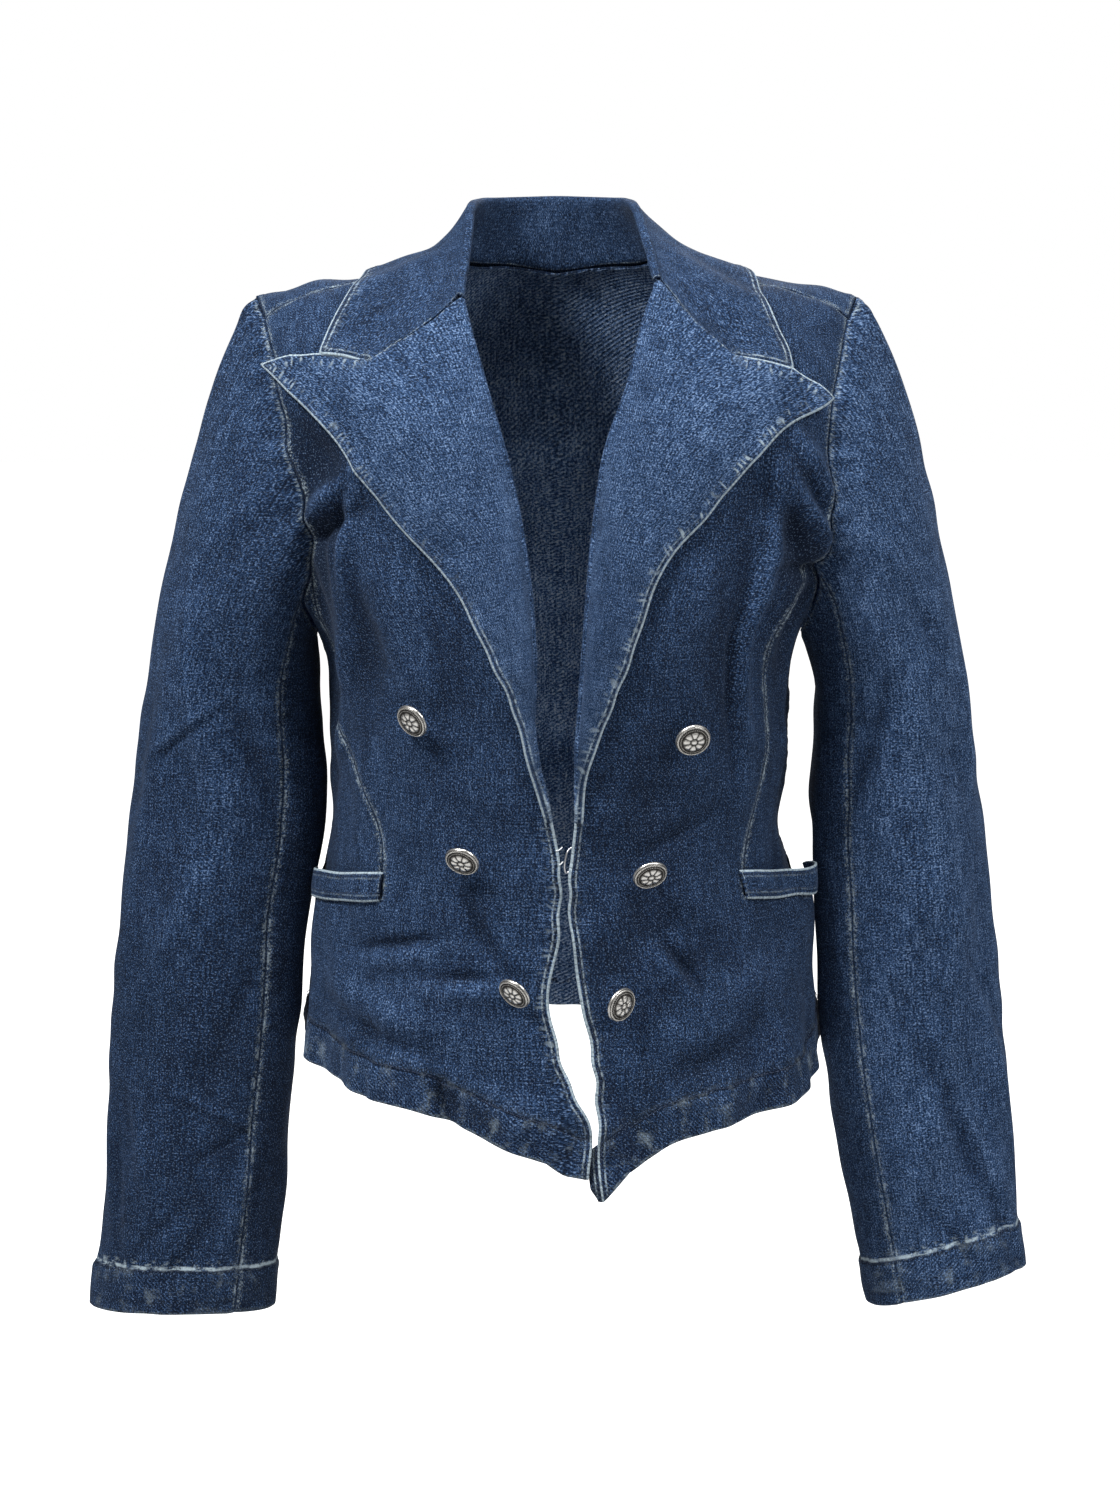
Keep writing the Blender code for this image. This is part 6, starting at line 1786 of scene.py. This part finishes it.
# ---------------------------------------- stitches
def spindles(points, normals, length, gap, radius):
    """Short threads laid end to end along a line: four-sided tubes that taper at both ends.

    Each ring is a square round the line; its half width is the radius times a share that falls
    to a third at the tips, and the tips sink by the radius.
    """
    run = running(np.linalg.norm(np.diff(points, axis=0), axis=1))
    middles = np.arange(0.7 * length, run[-1] - 0.5 * length, length + gap)
    at = middles[:, None] + (STITCH["place"] * length)[None]
    centre = np.stack([np.interp(at, run, points[:, k]) for k in range(3)], -1)
    up = unit(np.stack([np.interp(at, run, normals[:, k]) for k in range(3)], -1))
    along = unit(np.gradient(centre, axis=1))
    aside = unit(np.cross(along, up))
    share = STITCH["size"][None, :, None]
    centre = centre + up * radius * (share - 0.8)
    square = np.radians([45, 135, 225, 315])
    rings = (centre[:, :, None] + radius * share[..., None] * (
        aside[:, :, None] * np.cos(square)[:, None] + up[:, :, None] * np.sin(square)[:, None]))
    ring_ids = np.arange(4)
    follow = np.roll(ring_ids, -1)
    tube = [np.stack([ring_ids + 4 * k, follow + 4 * k, follow + 4 * k + 4, ring_ids + 4 * k + 4],
                     -1) for k in range(3)]
    faces = np.concatenate(tube + [np.array([[3, 2, 1, 0], [12, 13, 14, 15]])])
    starts = 16 * np.arange(len(middles))
    return rings.reshape(-1, 3), (faces[None] + starts[:, None, None]).reshape(-1, 4)


def make_stitches():
    """All rows of stitches as one piece of small threads."""
    setting = sizes()
    parts = [spindles(*SEWN[key], setting.stitch, setting.stitch_gap, setting.thread)
             for key in sorted(SEWN)]
    add_parts("stitches", parts, plain("thread", colours().thread, 0.7))


# ---------------------------------------- buttons and hook
def swept(centres, axes, radii, helper, around):
    """Rings of points round a bending axis, with their turn round it.

    The helper is any direction that the axis never takes.
    """
    first = unit(np.cross(axes, helper))
    second = np.cross(axes, first)
    angle = np.linspace(0, 2 * np.pi, around, endpoint=False)
    spokes = (first[:, None] * np.cos(angle)[None, :, None]
              + second[:, None] * np.sin(angle)[None, :, None])
    return centres[:, None] + radii[:, None, None] * spokes, angle


def closed_tube(rings):
    """Points and quads of rings joined in a tube, each end closed by a ring drawn to a point."""
    ends = rings[[0, -1]]
    middles = ends.mean(axis=1, keepdims=True)
    tips = middles + (ends - middles) * 0.02
    rings = np.concatenate([tips[:1], rings, tips[1:]])
    count, around = rings.shape[:2]
    r, c = np.meshgrid(np.arange(count - 1), np.arange(around), indexing="ij")
    a, b = (r * around + c).ravel(), (r * around + (c + 1) % around).ravel()
    faces = np.stack([a, b, b + around, a + around], -1)
    return rings.reshape(-1, 3), faces


def wire(route, radius, around):
    """Closed round tube along a route that never runs straight back."""
    axes, backward = unit(np.gradient(route, axis=0)), np.array([0.0, 1.0, 0.0])
    return closed_tube(swept(route, axes, np.full(len(route), radius), backward, around)[0])


def medal_relief(share, angle):
    """Height of the button's pattern at a share of its radius and an angle, from 0 to 1.

    A rope rim of slanting strands, a ring of beads, and a rosette of eight petals round a boss.
    """
    rope = (0.62 + 0.38 * np.cos(36 * angle + 60 * share)) * np.exp(-((share - 0.90) / 0.055) ** 4)
    beads = (0.40 + 0.40 * np.cos(44 * angle)) * np.exp(-((share - 0.75) / 0.035) ** 2)
    petal = np.abs(np.cos(4 * angle)) ** 0.6 * np.exp(-((share - 0.42) / 0.19) ** 4)
    vein = 0.35 * np.exp(-(np.sin(4 * angle + np.pi / 2) / 0.16) ** 2) * petal
    boss = 0.95 * np.exp(-(share / 0.16) ** 4) * np.ones_like(angle)
    return np.maximum.reduce([rope, beads, petal - vein, boss])


def make_button(number, across, height, face_x, face_z, thread):
    """Shank button: a domed medal with a rope rim, on a stem that bends to it."""
    place = front_place(np.array(across), np.array(height))
    base, normal = laid(body, *place)
    axis = unit(np.array([face_x, -1.0, face_z]))
    foot = base + normal * (0.00075 + thread)
    seat = foot + normal * BUTTON_STEM
    share = np.linspace(0, 1, 12)[:, None]
    bend = share ** 2 * (3 - 2 * share)
    stem = foot * (1 - share) + (seat - axis * 0.0008) * share
    stem_axes = unit(normal * (1 - bend) + axis * bend)
    stem_radii = np.interp(share[:, 0], SHANK["share"], SHANK["radius"])
    face = np.linspace(0.965, 0.02, 44)
    dome = 0.0025 + 0.0019 * (1 - face ** 2) ** 0.8
    radii = np.concatenate([stem_radii, np.append(MEDAL_BACK["share"], face) * BUTTON_RADIUS])
    heights = np.append(MEDAL_BACK["height"], dome)
    centres = np.concatenate([stem, seat + axis * heights[:, None]])
    axes = np.concatenate([stem_axes, np.repeat(axis[None], len(heights), 0)])
    rings, angle = swept(centres, axes, radii, np.array([0.0, 0.0, 1.0]), 96)
    high = np.zeros(rings.shape[:2])
    high[-len(face):] = medal_relief(face[:, None], angle[None])
    rings = rings + axis * (MEDAL_HEIGHT * high)[..., None]
    high[:len(stem)] = 0.1
    high[len(stem):-len(face)] = 0.75
    piece = add_parts("medal_button_%d" % number, [closed_tube(rings)], antique_silver(),
                      ["button_%d" % number])
    values = np.concatenate([high[:1], high, high[-1:]]).astype(np.float32).ravel()
    piece.data.attributes.new("relief", "FLOAT", "POINT").data.foreach_set("value", values)


def on_edge(name, height):
    """Point of the solid's surface on a front's free edge."""
    place = front_place(read(FRONT_EDGE[name], height, "across"), height)
    return body(place[..., 0], place[..., 1])


def make_hook():
    """Waist hook: a bent wire behind the left front that reaches past its edge."""
    known = np.arange(len(HOOK_ROUTE["height"]), dtype=float)
    past, behind, heights = [smooth(np.linspace(0, known[-1], 70), known, HOOK_ROUTE[key])
                             for key in ("past", "behind", "height")]
    route = on_edge("left", heights) + np.stack([-past, behind, 0 * heights], -1)
    add_parts("hook_wire", [wire(route, HOOK_WIRE, 14)],
              plain("bright steel", (0.62, 0.62, 0.64), 0.3, 1.0), ["hook"])


def make_stubs():
    """Two stubs of pale thread on the right front's edge, opposite the hook."""
    steps, parts = np.linspace(0, 1, 9), []
    for height, length in STUBS:
        base = on_edge("right", np.array(height)) + np.array([-0.0008, -0.0012, 0.0])
        way = np.stack([steps * length, -0.001 * np.sin(3 * steps), 0.0022 * steps ** 2], -1)
        parts.append(wire(base + way, STUB_RADIUS, 6))
    add_parts("thread_stubs", parts, plain("pale thread", colours().pale_thread, 0.8))


# ---------------------------------------- floor, light and camera
def make_floor():
    """Flat pale floor under the blazer."""
    mesh = bpy.data.meshes.new("floor")
    corners = [(-1, -1), (1, -1), (1, 1), (-1, 1)]
    mesh.from_pydata([(x * FLOOR_REACH, y * FLOOR_REACH, FLOOR_HEIGHT) for x, y in corners], [],
                     [(0, 1, 2, 3)])
    floor = placed("floor", mesh)
    made, w, shader = new_material("pale floor")
    shader.inputs["Base Color"].default_value = (*colours().floor, 1.0)
    shader.inputs["Roughness"].default_value = 0.9
    shader.inputs["Emission Color"].default_value = (1.0, 1.0, 1.0, 1.0)
    seen = w.node("LightPath").outputs["Is Camera Ray"]
    w.feed(shader.inputs["Emission Strength"], w.step(seen, 0.0, 1.0, 0.0, 1.0))
    mesh.materials.append(made)


def aimed(name, data, place, aim):
    """An object that faces a point from its place, as lights and cameras do."""
    made = placed(name, data)
    made.location = place
    made.rotation_euler = (Vector(aim) - Vector(place)).to_track_quat("-Z", "Y").to_euler()
    return made


def make_light(name, place, size, power):
    """Square soft light that faces the middle of the blazer."""
    lamp = bpy.data.lights.new(name, "AREA")
    lamp.size, lamp.energy = size, power
    aimed(name, lamp, place, MIDDLE)


def make_world():
    """White surroundings to the eye, and a weaker even light on the cloth."""
    world = bpy.data.worlds.new("white studio")
    world.use_nodes = True
    tree = world.node_tree
    w, background = Wiring(tree), tree.nodes["Background"]
    seen = w.node("LightPath").outputs["Is Camera Ray"]
    background.inputs["Color"].default_value = (1.0, 1.0, 1.0, 1.0)
    w.feed(background.inputs["Strength"], w.step(seen, 0.0, 1.0, 0.14, 1.0))
    bpy.context.scene.world = world


def make_camera():
    """Camera a little above the shoulders, level with the middle of the blazer across."""
    data = bpy.data.cameras.new("camera")
    data.sensor_fit, data.sensor_width, data.lens = "AUTO", 24.0, 53.69
    bpy.context.scene.camera = aimed("camera", data, (0.002, -2.1, 0.05), (0.002, 0.0, -0.2915))
    bpy.context.scene.view_settings.view_transform = "Standard"


# ---------------------------------------- operators
class BLAZER_OT_stage(bpy.types.Operator):
    """Builds the floor, the soft lights, the surroundings and the camera."""
    bl_idname = "blazer.stage"
    bl_label = "Stage"

    def execute(self, context):
        make_camera()
        make_world()
        make_floor()
        for light in LIGHTS:
            make_light(*light)
        return {"FINISHED"}


class BLAZER_OT_fronts(bpy.types.Operator):
    """Builds the two fronts, each with its part under the pocket."""
    bl_idname = "blazer.fronts"
    bl_label = "Fronts"

    def execute(self, context):
        for name in SIDES:
            make_front(name)
        return {"FINISHED"}


class BLAZER_OT_sides(bpy.types.Operator):
    """Builds the side fronts and side backs."""
    bl_idname = "blazer.sides"
    bl_label = "Side panels"

    def execute(self, context):
        for name in SIDES:
            make_side_front(name)
            make_side_back(name)
        return {"FINISHED"}


class BLAZER_OT_back(bpy.types.Operator):
    """Builds the back."""
    bl_idname = "blazer.back"
    bl_label = "Back"

    def execute(self, context):
        make_back()
        return {"FINISHED"}


class BLAZER_OT_lapels(bpy.types.Operator):
    """Builds the two peak lapels with their roll lines."""
    bl_idname = "blazer.lapels"
    bl_label = "Lapels"

    def execute(self, context):
        for name in SIDES:
            make_lapel(name)
        return {"FINISHED"}


class BLAZER_OT_collar(bpy.types.Operator):
    """Builds the collar."""
    bl_idname = "blazer.collar"
    bl_label = "Collar"

    def execute(self, context):
        make_collar()
        return {"FINISHED"}


class BLAZER_OT_welts(bpy.types.Operator):
    """Builds the two pocket welts."""
    bl_idname = "blazer.welts"
    bl_label = "Pocket welts"

    def execute(self, context):
        for name in SIDES:
            make_welt(name)
        return {"FINISHED"}


class BLAZER_OT_sleeves(bpy.types.Operator):
    """Builds the two sleeves, each in an upper and an under half."""
    bl_idname = "blazer.sleeves"
    bl_label = "Sleeves"

    def execute(self, context):
        for name in SIDES:
            make_sleeve(name)
        return {"FINISHED"}


class BLAZER_OT_stitches(bpy.types.Operator):
    """Builds the rows of stitches along edges, hems, cuffs and pockets."""
    bl_idname = "blazer.stitches"
    bl_label = "Stitches"

    def execute(self, context):
        if not SEWN:
            raise RuntimeError("the cloth comes before its stitches")
        make_stitches()
        return {"FINISHED"}


class BLAZER_OT_buttons(bpy.types.Operator):
    """Builds the six shank buttons and the waist hook."""
    bl_idname = "blazer.buttons"
    bl_label = "Buttons and hook"

    def execute(self, context):
        for number, row in enumerate(zip(*BUTTONS.values()), start=1):
            make_button(number, *row)
        make_hook()
        make_stubs()
        return {"FINISHED"}


OPERATORS = [BLAZER_OT_stage, BLAZER_OT_fronts, BLAZER_OT_sides, BLAZER_OT_back,
             BLAZER_OT_lapels, BLAZER_OT_collar, BLAZER_OT_welts, BLAZER_OT_sleeves,
             BLAZER_OT_stitches, BLAZER_OT_buttons]


class BLAZER_PT_panel(bpy.types.Panel):
    """Sidebar panel with the blazer's sizes, colours and operators."""
    bl_label = "Blazer"
    bl_space_type = "VIEW_3D"
    bl_region_type = "UI"
    bl_category = "Blazer"

    def draw(self, context):
        for settings in (context.scene.blazer_sizes, context.scene.blazer_colours):
            for name in settings.bl_rna.properties.keys():
                if name not in {"rna_type", "name"}:
                    self.layout.prop(settings, name)
        for operator in OPERATORS:
            self.layout.operator(operator.bl_idname)


CLASSES = [BlazerSizes, BlazerColours, *OPERATORS, BLAZER_PT_panel]


def register():
    """Adds the settings, operators and panel to Blender."""
    for kind in CLASSES:
        bpy.utils.register_class(kind)
    bpy.types.Scene.blazer_sizes = PointerProperty(type=BlazerSizes)
    bpy.types.Scene.blazer_colours = PointerProperty(type=BlazerColours)


def unregister():
    """Takes them out again."""
    del bpy.types.Scene.blazer_sizes, bpy.types.Scene.blazer_colours
    for kind in reversed(CLASSES):
        bpy.utils.unregister_class(kind)


def main():
    """Builds the blazer and its stage."""
    register()
    for operator in OPERATORS:
        getattr(bpy.ops.blazer, operator.bl_idname.split(".")[1])()
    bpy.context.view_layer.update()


if __name__ == "__main__":
    main()
